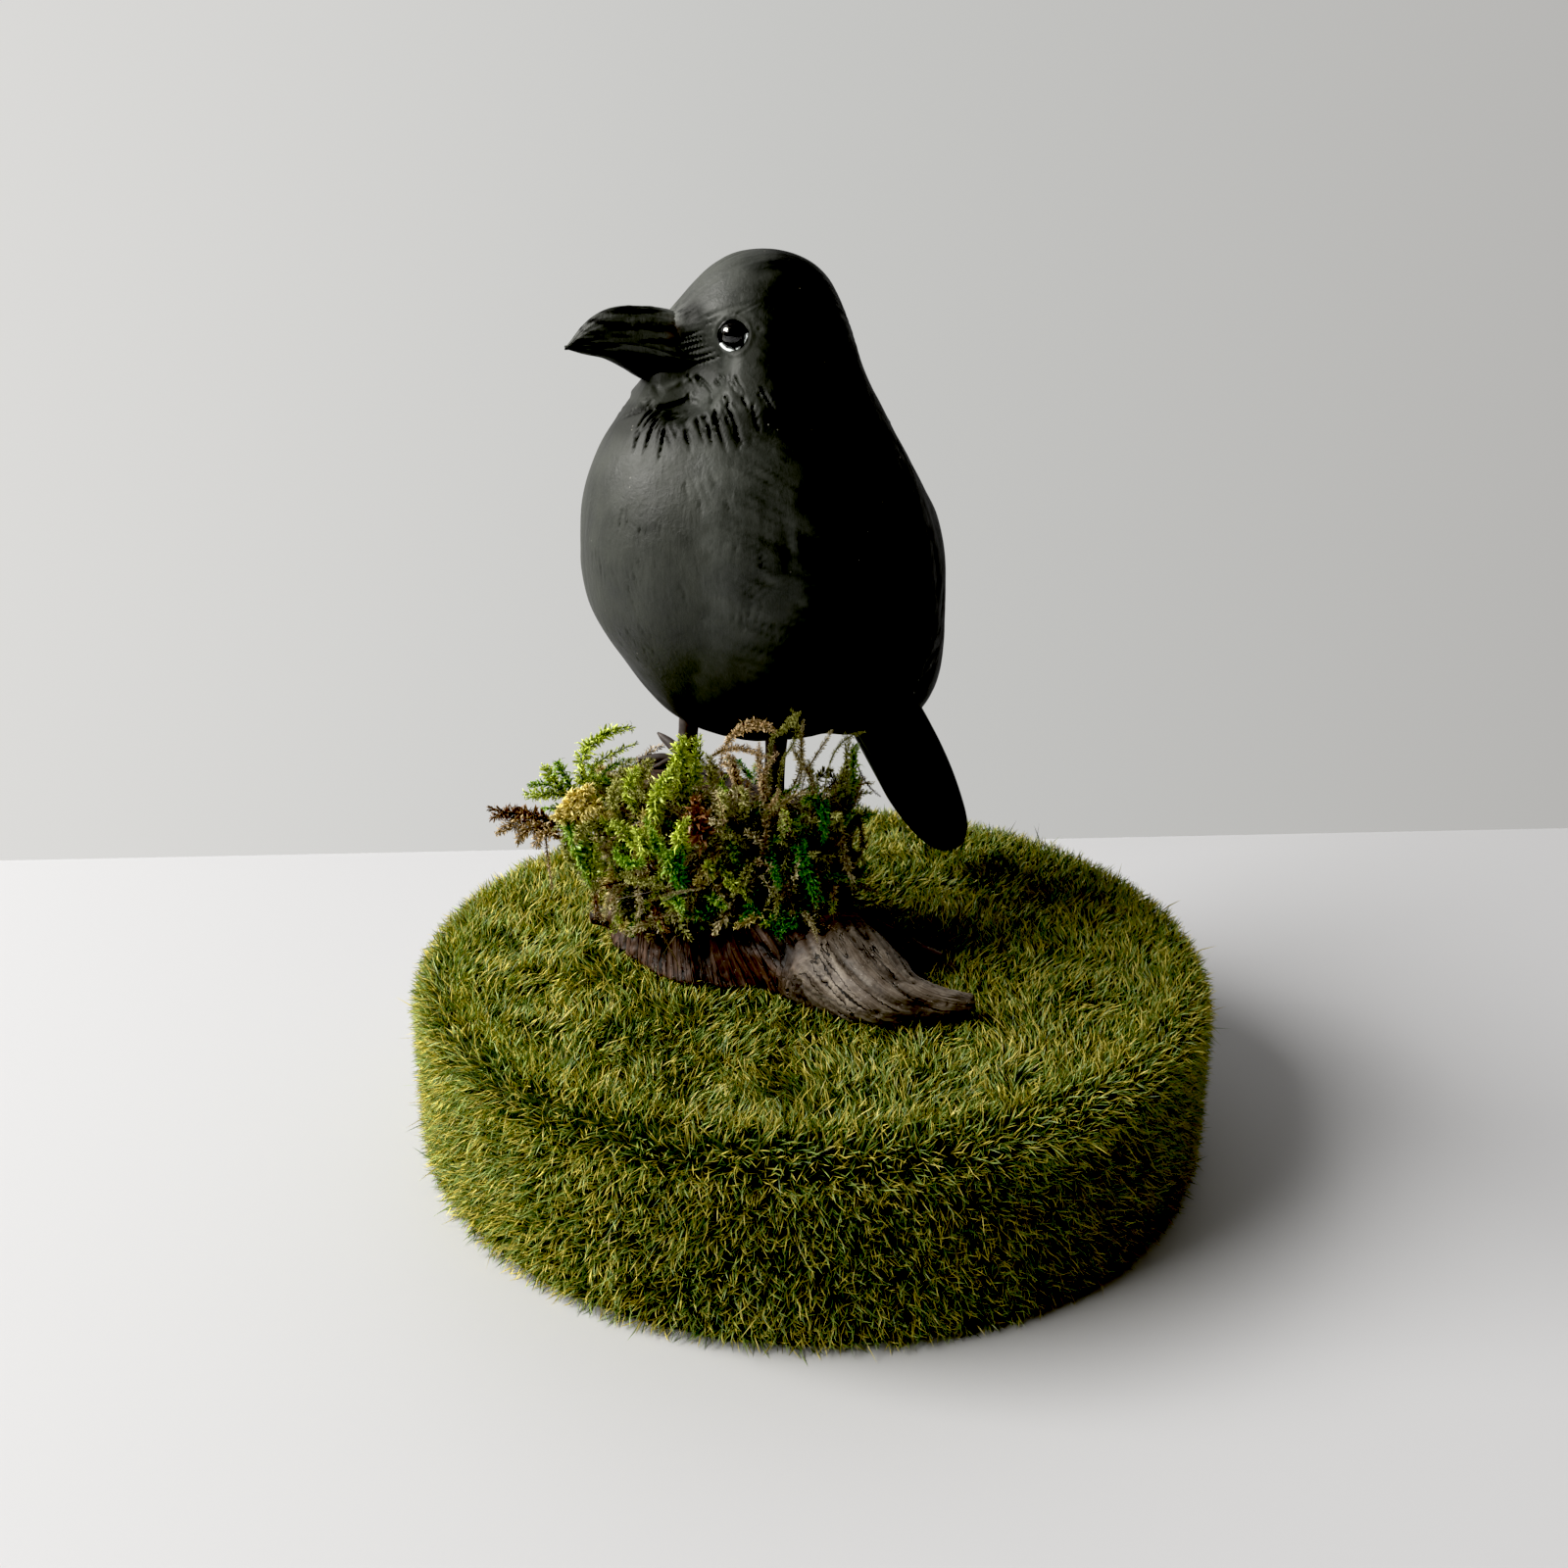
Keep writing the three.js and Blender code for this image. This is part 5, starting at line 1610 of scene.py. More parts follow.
def leaves(controls, sizes, per_mm, seed):
    """All the leaves of many shoots: points, triangles, the shoot of each point and its tip share.

    Leaf k sits at an even step along its stem and k times 137.5 degrees round it. Its axis leans
    out from the stem by 66 degrees at the foot of the shoot and 32 at its end, and its end hooks
    back towards the stem.
    """
    draw = np.random.default_rng(seed)
    lengths = gap(controls[:, 1:], controls[:, :-1]).sum(1)
    counts = np.maximum((lengths * per_mm / np.maximum(sizes, 0.4) ** 0.7).astype(int), 4)
    shoot = np.repeat(np.arange(len(counts)), counts)
    order = np.arange(len(shoot)) - np.repeat(np.cumsum(counts) - counts, counts)
    t = np.clip((order + draw.uniform(0, 1, len(shoot))) / counts[shoot], 0.02, 0.995)
    places, stem = bezier(controls[shoot], t[:, None])
    places, stem = places[:, 0], stem[:, 0]
    side = unit(np.cross(stem, [0.37, 0.41, 0.83]))
    rise = np.cross(stem, side)
    turn = order * 2.39996 + draw.normal(0, 0.3, len(shoot))
    outward = side * np.cos(turn)[:, None] + rise * np.sin(turn)[:, None]
    lean = np.radians(66 - 34 * t + draw.normal(0, 13, len(shoot)))[:, None]
    axis = unit(stem * np.cos(lean) + outward * np.sin(lean) + draw.normal(0, 0.24, outward.shape))
    across = unit(np.cross(axis, outward + 0.6 * draw.normal(0, 1, outward.shape)))
    back = np.cross(across, axis)
    swell = np.sqrt(np.sin(np.pi * (0.1 + 0.84 * t)))
    size = (sizes[shoot] * swell * draw.uniform(0.7, 1.15, len(shoot)))[:, None]
    base = places + outward * 0.06
    swing = draw.uniform(-0.5, 1.0, (len(shoot), 1)) * size
    half = across * 0.13 * size
    first = base + axis * 0.4 * size + back * 0.06 * swing
    second = base + axis * 0.82 * size + back * 0.36 * swing
    tip = base + axis * 0.94 * size + back * 0.98 * swing
    corners = np.stack([base, first - half, first + half, second - 0.7 * half,
                        second + 0.7 * half, tip], 1)
    start = (np.arange(len(shoot)) * 6)[:, None]
    pattern = np.array([[0, 2, 1], [1, 2, 4], [1, 4, 3], [3, 4, 5]]).ravel()[None]
    triangles = (start + pattern).reshape(-1, 3)
    share = np.tile([0.0, 0.4, 0.4, 0.8, 0.8, 1.0], len(shoot))
    return corners.reshape(-1, 3), triangles, np.repeat(shoot, 6), share


def stems(controls, radii, steps=9):
    """Three-sided stems: rings along each shoot that taper to a quarter, closed at both ends."""
    count = len(controls)
    t = np.broadcast_to(np.linspace(0, 1, steps), (count, steps))
    places, along = bezier(controls, t)
    side = unit(np.cross(along, [0.37, 0.41, 0.83]))
    rise = np.cross(along, side)
    turn = np.arange(3) * 2 * np.pi / 3
    ring = side[:, :, None] * np.cos(turn)[:, None] + rise[:, :, None] * np.sin(turn)[:, None]
    taper = (radii[:, None] * (1 - 0.75 * t))[..., None, None]
    points = places[:, :, None] + ring * taper
    i, j, k = np.meshgrid(np.arange(count), np.arange(steps - 1), np.arange(3), indexing="ij")
    a = (i * steps + j) * 3 + k
    b = (i * steps + j) * 3 + (k + 1) % 3
    quads = np.stack([a, b, b + 3, a + 3], -1).reshape(-1, 4)
    ends = (np.arange(count) * steps * 3)[:, None]
    caps = np.concatenate([ends + [2, 1, 0], ends + (steps - 1) * 3 + [0, 1, 2]])
    return points.reshape(-1, 3), quads, caps, np.repeat(np.arange(count), steps * 3)


# %% Creeping shoots
def creeping_shoots(count, seed):
    """Shoots rooted in the collar that come out of it and creep over it, mostly up or hanging.

    Each is a cubic curve: its second place is pushed outwards, and the last two follow a heading.
    """
    draw = np.random.default_rng(seed)
    turn = draw.uniform(0, 2 * np.pi, count)
    front = draw.uniform(0, 1, count) < 0.45
    turn = np.where(front, np.radians(draw.uniform(170, 380, count)), turn)
    level = draw.uniform(0.0, 1.0, count)
    root = collar_place(turn, level, 0.8)
    outward = unit(root - STUMP_MIDDLE - together(0, 0, root[:, 2]))
    level_way = together(-outward[:, 1], outward[:, 0], 0)
    upward = np.where(draw.uniform(0, 1, count) < 0.3 + 0.5 * level, 1.0, -0.8)[:, None]
    heading = unit(upward * UP + level_way * draw.normal(0, 0.75, (count, 1)))
    length = draw.uniform(4.5, 9.5, count)[:, None]
    first = root + outward * draw.uniform(1.6, 3.4, (count, 1)) + heading * 0.12 * length
    second = first + heading * 0.55 * length + outward * draw.uniform(-0.4, 1.4, (count, 1))
    wobble = draw.normal(0, 0.9, (count, 3))
    onward = unit(heading + 0.35 * outward * draw.normal(0.4, 1, (count, 1)))
    last = second + onward * 0.4 * length + wobble
    controls = np.stack([root, first, second, last], 1)
    floor = moss_bottom(turn) + draw.uniform(-0.2, 2.6, count) * (np.sin(turn) < 0.3)
    controls[..., 2] = np.maximum(controls[..., 2], floor[:, None])
    controls[..., 2] = np.minimum(controls[..., 2], moss_top(turn)[:, None] + 2.2)
    return controls, turn, level


def tints_for(turn, level, seed):
    """A colour name for each shoot: straw on the left, lime in front, olive and emerald right."""
    draw = np.random.default_rng(seed)
    names = list(PALETTE)
    facing = np.degrees(np.angle(np.exp(1j * (turn + np.pi / 2))))
    left = np.clip(-facing / 70, 0, 1)
    right = np.clip(facing / 70, 0, 1)
    low = 1 - level
    weights = np.stack([
        0.6 + 0.6 * left - 0.4 * right, 0.45 + 0.1 * right, 0.1 + 0.9 * right * low,
        0.7 + 0.5 * right * level, 0.35 + 0.35 * left, 0.2 + 0.4 * right * level, 0.12 + 0.1 * low,
        0.25 + 0.6 * left, 0.05 + 0.05 * low,
    ], 1).clip(0.02)
    total = np.cumsum(weights / weights.sum(1, keepdims=True), 1)
    drawn = (draw.uniform(0, 1, len(turn))[:, None] > total).sum(1)
    return np.array(names)[drawn.clip(0, len(names) - 1)]


# %% Sprigs that stand out
# Each sprig: colour, leaf length in millimetres, how many twins grow with it, how far its root and
# its tip lie from the drum's middle (y, in millimetres), and four pixels along its stem, x and y.
SPRIGS = [
    ("lime", 1.15, 2, -7, -9, 596, 800, 581, 771, 612, 739, 645, 743),
    ("lime", 0.8, 1, -8, -10, 603, 792, 605, 775, 625, 769, 650, 758),
    ("leaf", 0.7, 1, -8, -9, 615, 792, 620, 780, 633, 777, 649, 775),
    ("lime", 1.1, 2, -5, -6, 580, 811, 569, 800, 559, 792, 555, 782),
    ("leaf", 1.1, 2, -5, -6, 583, 805, 577, 795, 571, 787, 568, 779),
    ("lime", 1.1, 2, -5, -6, 577, 812, 564, 811, 548, 807, 535, 811),
    ("leaf", 0.9, 1, -5, -7, 576, 808, 564, 800, 551, 799, 540, 801),
    ("leaf", 0.8, 1, -5, -7, 580, 819, 569, 824, 561, 827, 555, 824),
    ("gold", 1.3, 4, -7, -11, 577, 840, 576, 824, 588, 808, 604, 809),
    ("gold", 1.3, 3, -7, -12, 588, 840, 592, 827, 604, 819, 613, 823),
    ("leaf", 1.1, 3, -9, -12, 576, 832, 581, 856, 592, 878, 606, 898),
    ("olive", 1.1, 3, -8, -12, 590, 846, 592, 868, 604, 888, 610, 908),
    ("olive", 1.1, 3, -6, -9, 602, 800, 588, 812, 581, 832, 580, 852),
    ("lime", 1.0, 2, -9, -12, 600, 850, 606, 866, 607, 882, 602, 896),
    ("gold", 0.9, 2, -6, -10, 571, 835, 571, 825, 580, 817, 589, 812),
    ("gold", 0.9, 2, -7, -11, 588, 845, 580, 837, 573, 832, 570, 827),
    ("brown", 1.6, 3, -5, -6, 569, 841, 548, 831, 521, 825, 501, 835),
    ("tan", 1.5, 2, -5, -7, 563, 843, 540, 835, 516, 835, 508, 851),
    ("tan", 1.6, 2, -5, -8, 567, 848, 551, 843, 532, 845, 528, 861),
    ("tan", 1.5, 2, -6, -8, 571, 855, 561, 846, 547, 851, 550, 865),
    ("tan", 0.6, 1, -6, -9, 557, 848, 556, 869, 563, 891, 563, 908),
    ("olive", 1.0, 2, -8, -12, 577, 845, 576, 869, 588, 885, 599, 904),
    ("lime", 0.9, 2, -9, -13, 596, 864, 592, 880, 601, 893, 614, 891),
    ("olive", 1.0, 2, -9, -13, 607, 845, 599, 837, 593, 848, 588, 859),
    ("olive", 1.0, 2, -9, -13, 631, 811, 625, 795, 631, 787, 645, 775),
    ("lime", 1.0, 2, -10, -15, 649, 827, 637, 811, 641, 795, 651, 783),
    ("lime", 1.3, 3, -12, -17, 671, 845, 663, 824, 676, 805, 687, 781),
    ("lime", 1.35, 3, -13, -16, 687, 808, 691, 792, 695, 773, 696, 752),
    ("lime", 1.1, 2, -13, -15, 703, 808, 711, 792, 709, 773, 711, 753),
    ("olive", 1.0, 2, -9, -14, 633, 835, 623, 821, 625, 808, 633, 797),
    ("olive", 0.9, 2, -10, -15, 655, 808, 649, 797, 657, 787, 665, 780),
    ("lime", 1.1, 2, -12, -17, 660, 872, 652, 861, 639, 853, 625, 841),
    ("lime", 1.0, 2, -12, -18, 667, 883, 660, 869, 653, 859, 649, 845),
    ("leaf", 1.0, 2, -12, -18, 689, 883, 676, 872, 667, 864, 665, 848),
    ("lime", 1.1, 2, -13, -19, 704, 872, 693, 861, 691, 848, 702, 835),
    ("leaf", 1.1, 2, -13, -18, 705, 904, 688, 893, 677, 883, 677, 867),
    ("emerald", 1.0, 2, -13, -18, 703, 909, 691, 899, 684, 885, 688, 867),
    ("leaf", 0.9, 2, -12, -16, 628, 869, 633, 880, 649, 885, 657, 880),
    ("olive", 0.9, 2, -12, -16, 639, 891, 644, 901, 657, 904, 668, 896),
    ("lime", 0.8, 1, -13, -18, 732, 899, 725, 893, 721, 887, 723, 879),
    ("lime", 0.9, 2, -13, -18, 769, 907, 756, 907, 747, 899, 740, 891),
    ("olive", 0.9, 2, -13, -18, 772, 867, 767, 885, 757, 901, 747, 915),
    ("straw", 0.4, 1, -12, -18, 663, 920, 681, 911, 697, 909, 715, 907),
    ("leaf", 0.8, 2, -13, -17, 681, 917, 687, 915, 697, 920, 695, 932),
    ("leaf", 0.8, 2, -13, -17, 719, 912, 727, 917, 735, 917, 740, 928),
    ("emerald", 1.0, 3, -13, -17, 751, 915, 769, 923, 783, 939, 804, 949),
    ("emerald", 0.9, 2, -13, -17, 764, 904, 772, 917, 776, 928, 769, 939),
    ("emerald", 0.9, 2, -13, -17, 791, 917, 795, 931, 800, 939, 809, 947),
    ("emerald", 1.0, 2, -13, -17, 811, 837, 813, 864, 821, 891, 833, 924),
    ("emerald", 1.0, 2, -12, -15, 827, 808, 841, 813, 843, 832, 840, 859),
    ("leaf", 0.9, 1, -12, -15, 837, 824, 832, 813, 824, 812, 820, 820),
    ("emerald", 0.8, 2, -13, -17, 780, 856, 785, 872, 792, 888, 796, 907),
    ("straw", 0.8, 2, -13, -17, 812, 920, 821, 933, 827, 944, 839, 955),
    ("olive", 0.9, 2, -9, -10, 857, 827, 855, 800, 863, 779, 868, 753),
    ("leaf", 0.9, 2, -8, -9, 869, 813, 873, 792, 869, 773, 872, 760),
    ("olive", 0.5, 1, -9, -10, 847, 779, 855, 755, 868, 749, 883, 747),
    ("brown", 0.35, 1, -7, -8, 872, 773, 879, 792, 884, 803, 899, 813),
    ("straw", 0.8, 2, -12, -15, 804, 811, 823, 789, 815, 763, 819, 741),
    ("straw", 0.8, 2, -12, -14, 828, 811, 833, 792, 817, 779, 807, 763),
    ("straw", 0.6, 1, -12, -14, 823, 787, 836, 765, 844, 755, 849, 745),
    ("tan", 1.0, 2, -13, -17, 737, 769, 747, 741, 775, 736, 791, 747),
    ("olive", 0.7, 2, -14, -17, 789, 751, 801, 745, 807, 736, 817, 727),
    ("olive", 0.6, 1, -14, -16, 801, 771, 815, 755, 817, 741, 807, 723),
    ("tan", 0.8, 2, -13, -17, 727, 771, 748, 755, 767, 765, 791, 776),
    ("tan", 1.1, 3, -13, -17, 751, 808, 756, 795, 745, 784, 748, 771),
    ("tan", 1.1, 3, -13, -17, 785, 832, 783, 808, 772, 787, 776, 763),
    ("olive", 0.9, 2, -12, -16, 729, 808, 727, 792, 732, 781, 721, 771),
    ("olive", 0.9, 2, -13, -18, 740, 848, 735, 832, 743, 819, 735, 805),
    ("olive", 0.9, 2, -13, -18, 761, 845, 756, 827, 764, 816, 756, 803),
    ("tan", 0.8, 2, -13, -17, 783, 848, 777, 835, 788, 821, 796, 808),
    ("olive", 0.8, 2, -13, -18, 767, 869, 756, 861, 748, 848, 737, 853),
    ("rust", 2.0, 1, -13, -18, 735, 864, 724, 853, 713, 845, 705, 835),
    ("rust", 1.6, 1, -13, -18, 721, 869, 713, 859, 711, 835, 709, 816),
    ("olive", 0.8, 2, -12, -16, 665, 800, 660, 811, 649, 816, 641, 808),
    ("straw", 0.7, 2, -12, -15, 628, 907, 625, 917, 631, 928, 625, 939),
    ("straw", 0.7, 2, -12, -16, 649, 912, 656, 920, 657, 931, 649, 936),
    ("brown", 0.6, 2, -11, -14, 607, 907, 604, 917, 609, 928, 617, 944),
    ("brown", 0.7, 2, -8, -9, 873, 832, 881, 843, 879, 859, 884, 869),
    ("olive", 0.7, 2, -9, -11, 855, 848, 860, 864, 857, 880, 865, 893),
]


# Dried shoots have shrunk, fresh ones have not.
LEAF_SHARE = {"tan": 0.7, "straw": 0.75, "olive": 0.85, "brown": 0.8}


def inside_collar(place):
    """The nearest place well inside the moss collar: within 0.8 of its radii, and below its top."""
    local = place[:2] - STUMP["centre"]
    turn = np.arctan2(local[1], local[0])
    local = local * min(1, 0.8 * oval_radius(turn, MOSS["radii"]) / np.hypot(*local))
    level = np.clip(place[2], moss_bottom(turn) + 1, moss_top(turn) - 2)
    return np.array([*(STUMP["centre"] + local), level])


def sprig_shoots(seed):
    """The named sprigs and their twins, each twin moved and turned a little.

    A sprig that starts out in the open is carried by one more shoot, which comes out of the collar.
    """
    draw = np.random.default_rng(seed)
    shoots = []
    for name, size, twins, root, tip, *pixels in SPRIGS:
        depths = np.array([root, root + 0.75 * (tip - root), tip, tip], float)
        path = place_seen(np.array(pixels, float).reshape(4, 2), depths)
        leaf = LEAF_SHARE.get(name, 1.1)
        inside = inside_collar(path[0])
        if gap(path[0], inside) > 0.8:
            towards = path[0] - (path[1] - path[0]) / 3
            carrier = np.array([inside, inside + (path[0] - inside) / 3, towards, path[0]])
            shoots.append((carrier, 0.85 * size * leaf, name))
        for twin in range(twins):
            wobble = draw.normal(0, 1, (4, 3)) * np.array([0.2, 0.4, 0.55, 0.7])[:, None]
            if twin:
                shoots.append((path + wobble, size * leaf * draw.uniform(0.75, 1), name))
            else:
                shoots.append((path, size * leaf, name))
    return [np.array(column) for column in zip(*shoots)]


def rootlets(count, seed):
    """Thin bare threads that hang out of the lower edge of the moss, and swing sideways."""
    draw = np.random.default_rng(seed)
    turn = np.radians(draw.uniform(150, 400, count))
    root = collar_place(turn, draw.uniform(0.0, 0.5, count), 0.95)
    outward = together(np.cos(turn), np.sin(turn), 0)
    way = together(-np.sin(turn), np.cos(turn), 0) * draw.normal(0, 1, (count, 1))
    length = draw.uniform(3, 7, count)[:, None]
    first = root + outward * draw.uniform(1, 2.6, (count, 1)) + way * 0.5
    second = first + (way + outward * 0.3 + np.array([0, 0, -0.6])) * 0.45 * length
    last = second + (way * draw.normal(0, 1, (count, 1)) + np.array([0, 0, -0.7])) * 0.4 * length
    controls = np.stack([root, first, second, last], 1)
    controls[..., 2] = np.maximum(controls[..., 2], DRUM_TOP + 0.8)
    return controls


# %% Grow the moss
def tinted(names, shoot, share, draw):
    """The colour of each point: its palette's dark at the leaf's base, painted shade where the
    leaves crowd round the stem, and its light at the tip.
    """
    dark, light = (np.array([linear(PALETTE[name][end]) for name in names]) for end in (0, 1))
    shade = draw.uniform(0.85, 1.35, (len(names), 1))
    mix = share[:, None] ** 1.2
    return (dark * shade)[shoot] * (1 - mix) + (light * shade)[shoot] * mix


def tinted_material(name, roughness, specular):
    """A material that shows the colour stored on each point."""
    material, tree, surface = new_material(name)
    tint = add_node(tree, "Attribute", output="Color", attribute_name="tint")
    fill_inputs(tree, surface, {"Base Color": tint, "Roughness": roughness,
                                "Specular IOR Level": specular})
    return material


moss_look = tinted_material("dried feather moss", 0.4, 0.5)
LEAVES_PER_MM = {"sprigs": 16, "tufts": 14, "strands": 6, "rootlets": 1}


def grow(name, controls, sizes, names, seed):
    """One piece of moss: the leaves and the stems of many shoots, with a colour for each point.

    Leaves deep in the collar are darkened with painted shade, to 0.45 of their colour:
    out_of_painted_shade goes from 0 to 1 between 0.9 and 1.12 radii, and between 46 and 50 mm high.
    """
    draw = np.random.default_rng(seed)
    per_mm = LEAVES_PER_MM[name.split("_")[1]]
    points, triangles, shoot, share = leaves(controls, sizes, per_mm, seed + 1)
    stem_points, quads, caps, stem_shoot = stems(controls, 0.09 + 0.07 * sizes)
    offset = len(points)
    every = np.concatenate([points, stem_points])
    colours = tinted(names, np.concatenate([shoot, stem_shoot]),
                     np.concatenate([share, np.full(len(stem_shoot), 0.15)]), draw)
    speckle = 1 + 0.25 * wander(every / 0.8, seed % 20)[:, None]
    local = every[:, :2] - STUMP["centre"]
    turn = np.arctan2(local[:, 1], local[:, 0])
    out = gap(local, 0) / oval_radius(turn, MOSS["radii"])
    out_of_painted_shade = np.maximum(smoothstep(out, 0.9, 1.12), smoothstep(every[:, 2], 46, 50))[:, None]
    mesh = make_mesh(name, every, (quads + offset, triangles, caps + offset), smooth=False)
    # Painted shade: leaves deep in the collar keep 0.45 of their colour.
    paint(mesh, "tint", colours * speckle * (0.45 + 0.55 * out_of_painted_shade))
    show_piece(name, mesh, moss_look, "moss")


# %% Sprigs, tufts, strands and rootlets
TUFTS = {"shoots": 155, "leaf": (0.65, 1.15), "seeds": (21, 22)}
# Of the shoots drawn for the strands, those in front are kept, and are moved a little forward.
STRANDS = {"drawn": 420, "kept": 76, "forward": 1.2, "leaf": 0.7}
ROOTLETS = {"count": 60, "leaf": 0.25}
sprigs = sprig_shoots(11)
print(len(sprigs[2]), "shoots in the sprigs")
half = len(sprigs[2]) // 2
for part, chosen in enumerate((slice(0, half), slice(half, None)), 1):
    grow(f"moss_sprigs_{part}", *(column[chosen] for column in sprigs), 12 + part)
for part, seed in enumerate(TUFTS["seeds"], 1):
    controls, turn, level = creeping_shoots(TUFTS["shoots"], seed)
    names = tints_for(turn, level, seed + 5)
    sizes = np.random.default_rng(seed + 6).uniform(*TUFTS["leaf"], len(controls))
    grow(f"moss_tufts_{part}", controls, sizes, names, seed + 7)
controls, turn, level = creeping_shoots(STRANDS["drawn"], 41)
facing = (np.sin(turn) < -0.35) & (np.cos(turn) > -0.75) & (level > 0.12)
controls = controls[facing][:STRANDS["kept"]]
controls[:, 1:, 1] -= STRANDS["forward"]
for name, controls, size, names, seed in (
        ("moss_strands", controls, STRANDS["leaf"], ["straw", "olive", "straw", "tan"], 43),
        ("moss_rootlets", rootlets(ROOTLETS["count"], 31), ROOTLETS["leaf"],
         ["brown", "tan", "straw"], 32)):
    names = np.resize(names, len(controls))
    grow(name, controls, np.full(len(controls), size), names, seed)

# %% Moss bed
def moss_bed():
    """The dark mat of old stems under the shoots: a lumpy collar a little inside the solid one."""
    turn = full_turn(160)[None, :]
    rings = np.linspace(0, 1, 36)
    out = through([0.72, 0.86, 0.9, 0.9, 0.88, 0.8, 0.7], rings)[:, None]
    level = through([0.06, 0.03, 0.3, 0.6, 0.84, 0.93, 0.86], rings)[:, None]
    grid = collar_place(turn, level, out)
    outward = unit((grid - STUMP_MIDDLE) * np.array([1, 1, 0]))
    lumps = (0.9 * wander(grid / 2.2, 5) + 0.5 * wander(grid / 0.9, 6))[..., None]
    return grid + outward * lumps + 0.4 * UP * lumps


# The old stems change colour about every 1.1 mm.
bed_look = mottled_material("matted old moss stems",
                            [(0.35, "#0f0c06"), (0.55, "#2a2410"), (0.75, "#4d4a20")],
                            0.9, Scale=900.0, Detail=6.0, Roughness=0.7)
show_piece("moss_bed", skin_mesh("moss_bed", [moss_bed()]), bed_look, "moss")

# %% [markdown]
# ## Turf drum
# The drum is wrapped in a mat of nylon fibres about two and a half millimetres long, stood up by
# static and then combed and crushed by handling. Real mats hold thousands to the square centimetre.
# Here each fibre is a bent ribbon of three triangles, a little wider than a real one so that it
# shows, over a dark mat. On the top the fibres are combed and lean together in patches. Yellow,
# green and dark ones are mixed fibre by fibre, and drift a little from place to place. Each fibre
# is darker at its foot, painted shade down in the mat, and the tips are painted lighter towards the
# left, where the window's light falls. The matted backing's own mottling is 0.7 mm wide.

# %% Drum mat
DRUM = {"radius": 50.1, "height": 23.9, "shoulder": 3.4, "hem": 0.5}


def drum_skin(turn, arc):
    """Places and outward directions on the mat, at millimetres along its outline from the foot.

    The outline goes up the side, round a quarter circle of shoulder radius, and over the top.
    """
    side = DRUM["height"] - DRUM["shoulder"] - DRUM["hem"]
    bend = np.clip((arc - side) / DRUM["shoulder"], 0, np.pi / 2)
    inward = np.maximum(arc - side - DRUM["shoulder"] * np.pi / 2, 0)
    radius = DRUM["radius"] - DRUM["shoulder"] * (1 - np.cos(bend)) - inward
    height = DRUM["hem"] + np.minimum(arc, side) + DRUM["shoulder"] * np.sin(bend)
    level = together(np.cos(turn), np.sin(turn), 0)
    places = level * radius[..., None] + UP * height[..., None]
    return places, level * np.cos(bend)[..., None] + UP * np.sin(bend)[..., None]


SIDE_ARC = DRUM["height"] - DRUM["shoulder"] - DRUM["hem"]
TOP_ARC = SIDE_ARC + DRUM["shoulder"] * np.pi / 2
WHOLE_ARC = TOP_ARC + DRUM["radius"] - DRUM["shoulder"]


def drum_mat():
    """Rings up the side, over the shoulder and in over the top, wandering by a quarter of a mm."""
    arc = np.concatenate([np.linspace(0, SIDE_ARC, 8), np.linspace(SIDE_ARC, TOP_ARC, 8)[1:],
                          np.linspace(TOP_ARC, WHOLE_ARC - 1, 12)[1:]])
    arc, turn = np.meshgrid(arc, full_turn(150), indexing="ij")
    grid, outward = drum_skin(turn, arc)
    return grid + outward * 0.25 * wander(grid / 5, 3)[..., None]


mat_look = mottled_material("turf backing",
                            [(0.35, "#0f1605"), (0.6, "#25300d"), (0.8, "#3a4716")],
                            0.95, Scale=1500.0, Detail=4.0)
show_piece("turf_mat", skin_mesh("turf_mat", [drum_mat()]), mat_look, "turf_base")

# %% Fibres
# Three dyes, each with the colour at a fibre's foot, dark with painted shade, and at its tip, and
# their share of the mat.
DYES = [("#324616", "#a2b468"), ("#605a22", "#dacb68"), ("#20300e", "#60783c")]
DYE_SHARES = [0.36, 0.42, 0.22]
FIBRE = {"length": (1.5, 2.7), "half_width": (0.052, 0.08)}


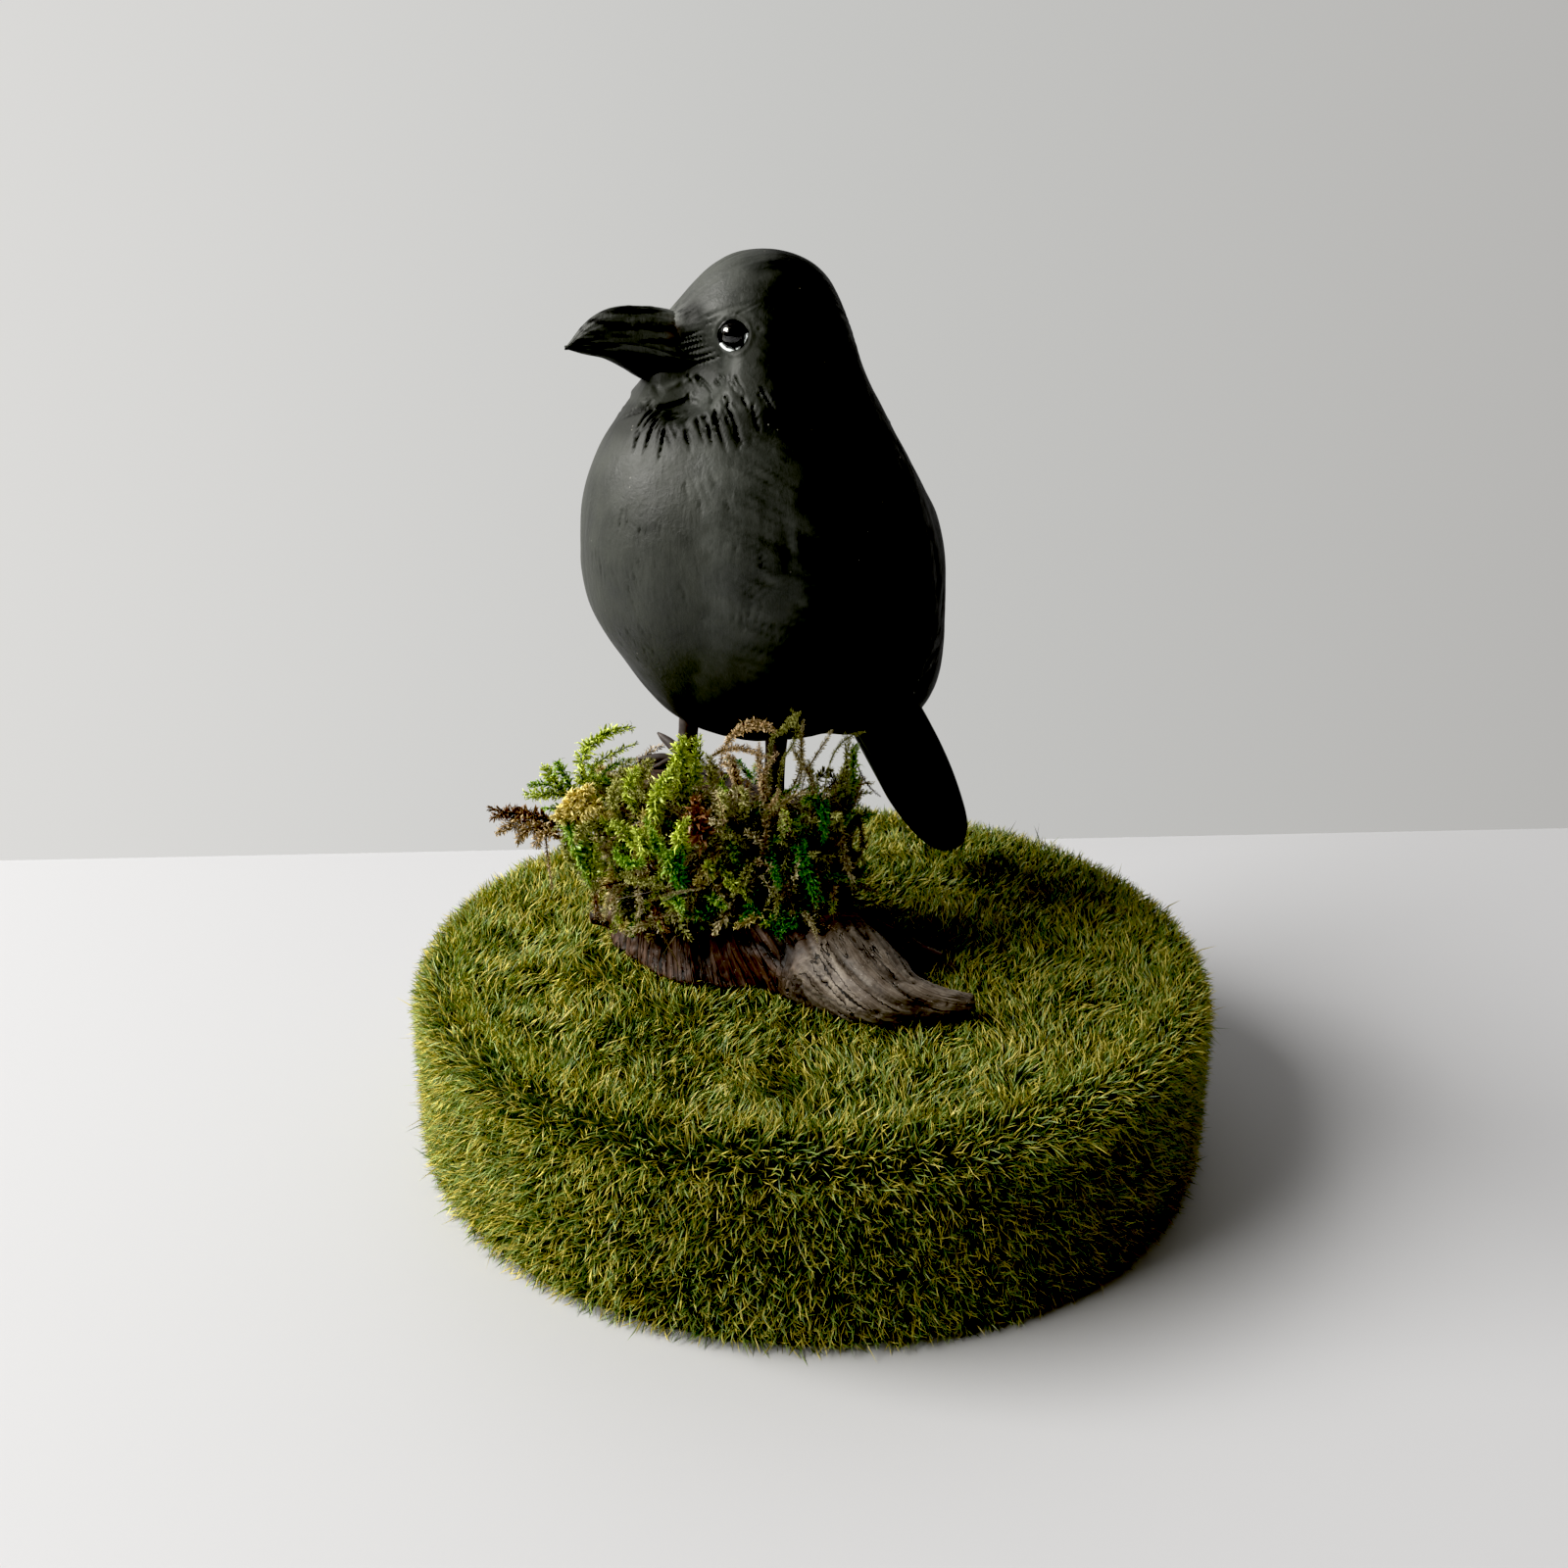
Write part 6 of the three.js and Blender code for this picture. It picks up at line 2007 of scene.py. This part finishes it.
def fibres(name, roots, outward, comb, draw, material):
    """Bent ribbons: two triangles up to the middle and one to the tip, leaning in patches.

    The middle is at root + length * 0.55 * first and the tip a further 0.45 along second, where
    first and second turn more and more from straight out of the mat towards the lean.
    """
    count = len(roots)
    drift = np.stack([wander(roots / 4, k) for k in (1, 8, 15)], 1)
    lean = comb[:, None] * (drift * 1.2 + np.array([0.2, 0.15, 0]))
    lean += draw.normal(0, 0.62, (count, 3))
    lean -= outward * np.einsum("ij,ij->i", lean, outward)[:, None]
    first = unit(outward + 0.9 * lean)
    second = unit(outward + 1.25 * lean - 0.08 * UP)
    length = draw.uniform(*FIBRE["length"], count)
    length = (length * np.where(draw.uniform(0, 1, count) < 0.007, 1.8, 1))[:, None]
    middle = roots + first * length * 0.55
    tip = middle + second * length * 0.45
    side = unit(np.cross(first, draw.normal(0, 1, (count, 3))))
    side = side * draw.uniform(*FIBRE["half_width"], (count, 1))
    corners = np.stack([roots - side * 0.7, roots + side * 0.7, middle + side, middle - side,
                        tip], 1)
    points = corners.reshape(-1, 3)
    points[:, 2] = np.maximum(points[:, 2], 0.05)
    start = (np.arange(count) * 5)[:, None]
    quads = start + [0, 1, 2, 3]
    triangles = start + [3, 2, 4]
    drifts = together(0.16 * wander(roots / 8, 12), 0.16 * wander(roots / 5, 13), 0)
    total = np.cumsum(np.clip(np.array(DYE_SHARES) + drifts, 0.05, 1), 1)
    dye = (draw.uniform(0, 1, count)[:, None] * total[:, -1:] > total).sum(1)
    foot, end = (np.array([linear(colours[k]) for colours in DYES])[dye] for k in (0, 1))
    # Tips painted lighter towards the left, where the window's light falls.
    painted_left_light = 1 + 0.35 * smoothstep(-roots[:, :1], 5, 40)
    end = end * draw.uniform(0.72, 1.18, (count, 1)) * painted_left_light
    # Painted shade: each fibre is dark at its foot, down in the mat.
    share = np.array([0.0, 0.0, 0.85, 0.85, 1.0])[None, :, None]
    colours = (foot[:, None] * (1 - share) + end[:, None] * share).reshape(-1, 3)
    mesh = make_mesh(name, points, (quads, triangles), smooth=False)
    paint(mesh, "tint", colours)
    show_piece(name, mesh, material, "turf_base")


def spread(count, low, high, draw):
    """Roots spread evenly over the mat between two places along its outline.

    The chance of a place is in proportion to its radius, so each side's arc lengths are drawn from
    the running total of the radius.
    """
    arc = np.linspace(low, high, 400)
    radius = gap(drum_skin(0 * arc, arc)[0][:, :2], 0)
    total = np.cumsum(radius)
    arcs = np.interp(draw.uniform(total[0], total[-1], count), total, arc)
    return drum_skin(draw.uniform(0, 2 * np.pi, count), arcs)


fibre_look = tinted_material("nylon grass fibre", 0.42, 0.4)
draw = np.random.default_rng(77)
for name, count, low, high in (("turf_top", 50000, TOP_ARC, WHOLE_ARC),
                               ("turf_shoulder", 19500, SIDE_ARC - 1, TOP_ARC + 2),
                               ("turf_side", 46500, 0, SIDE_ARC)):
    roots, outward = spread(count, low, high, draw)
    inward = DRUM["radius"] - gap(roots[:, :2], 0)
    fibres(name, roots, outward, 0.3 + 0.7 * smoothstep(inward, 3, 9), draw, fibre_look)
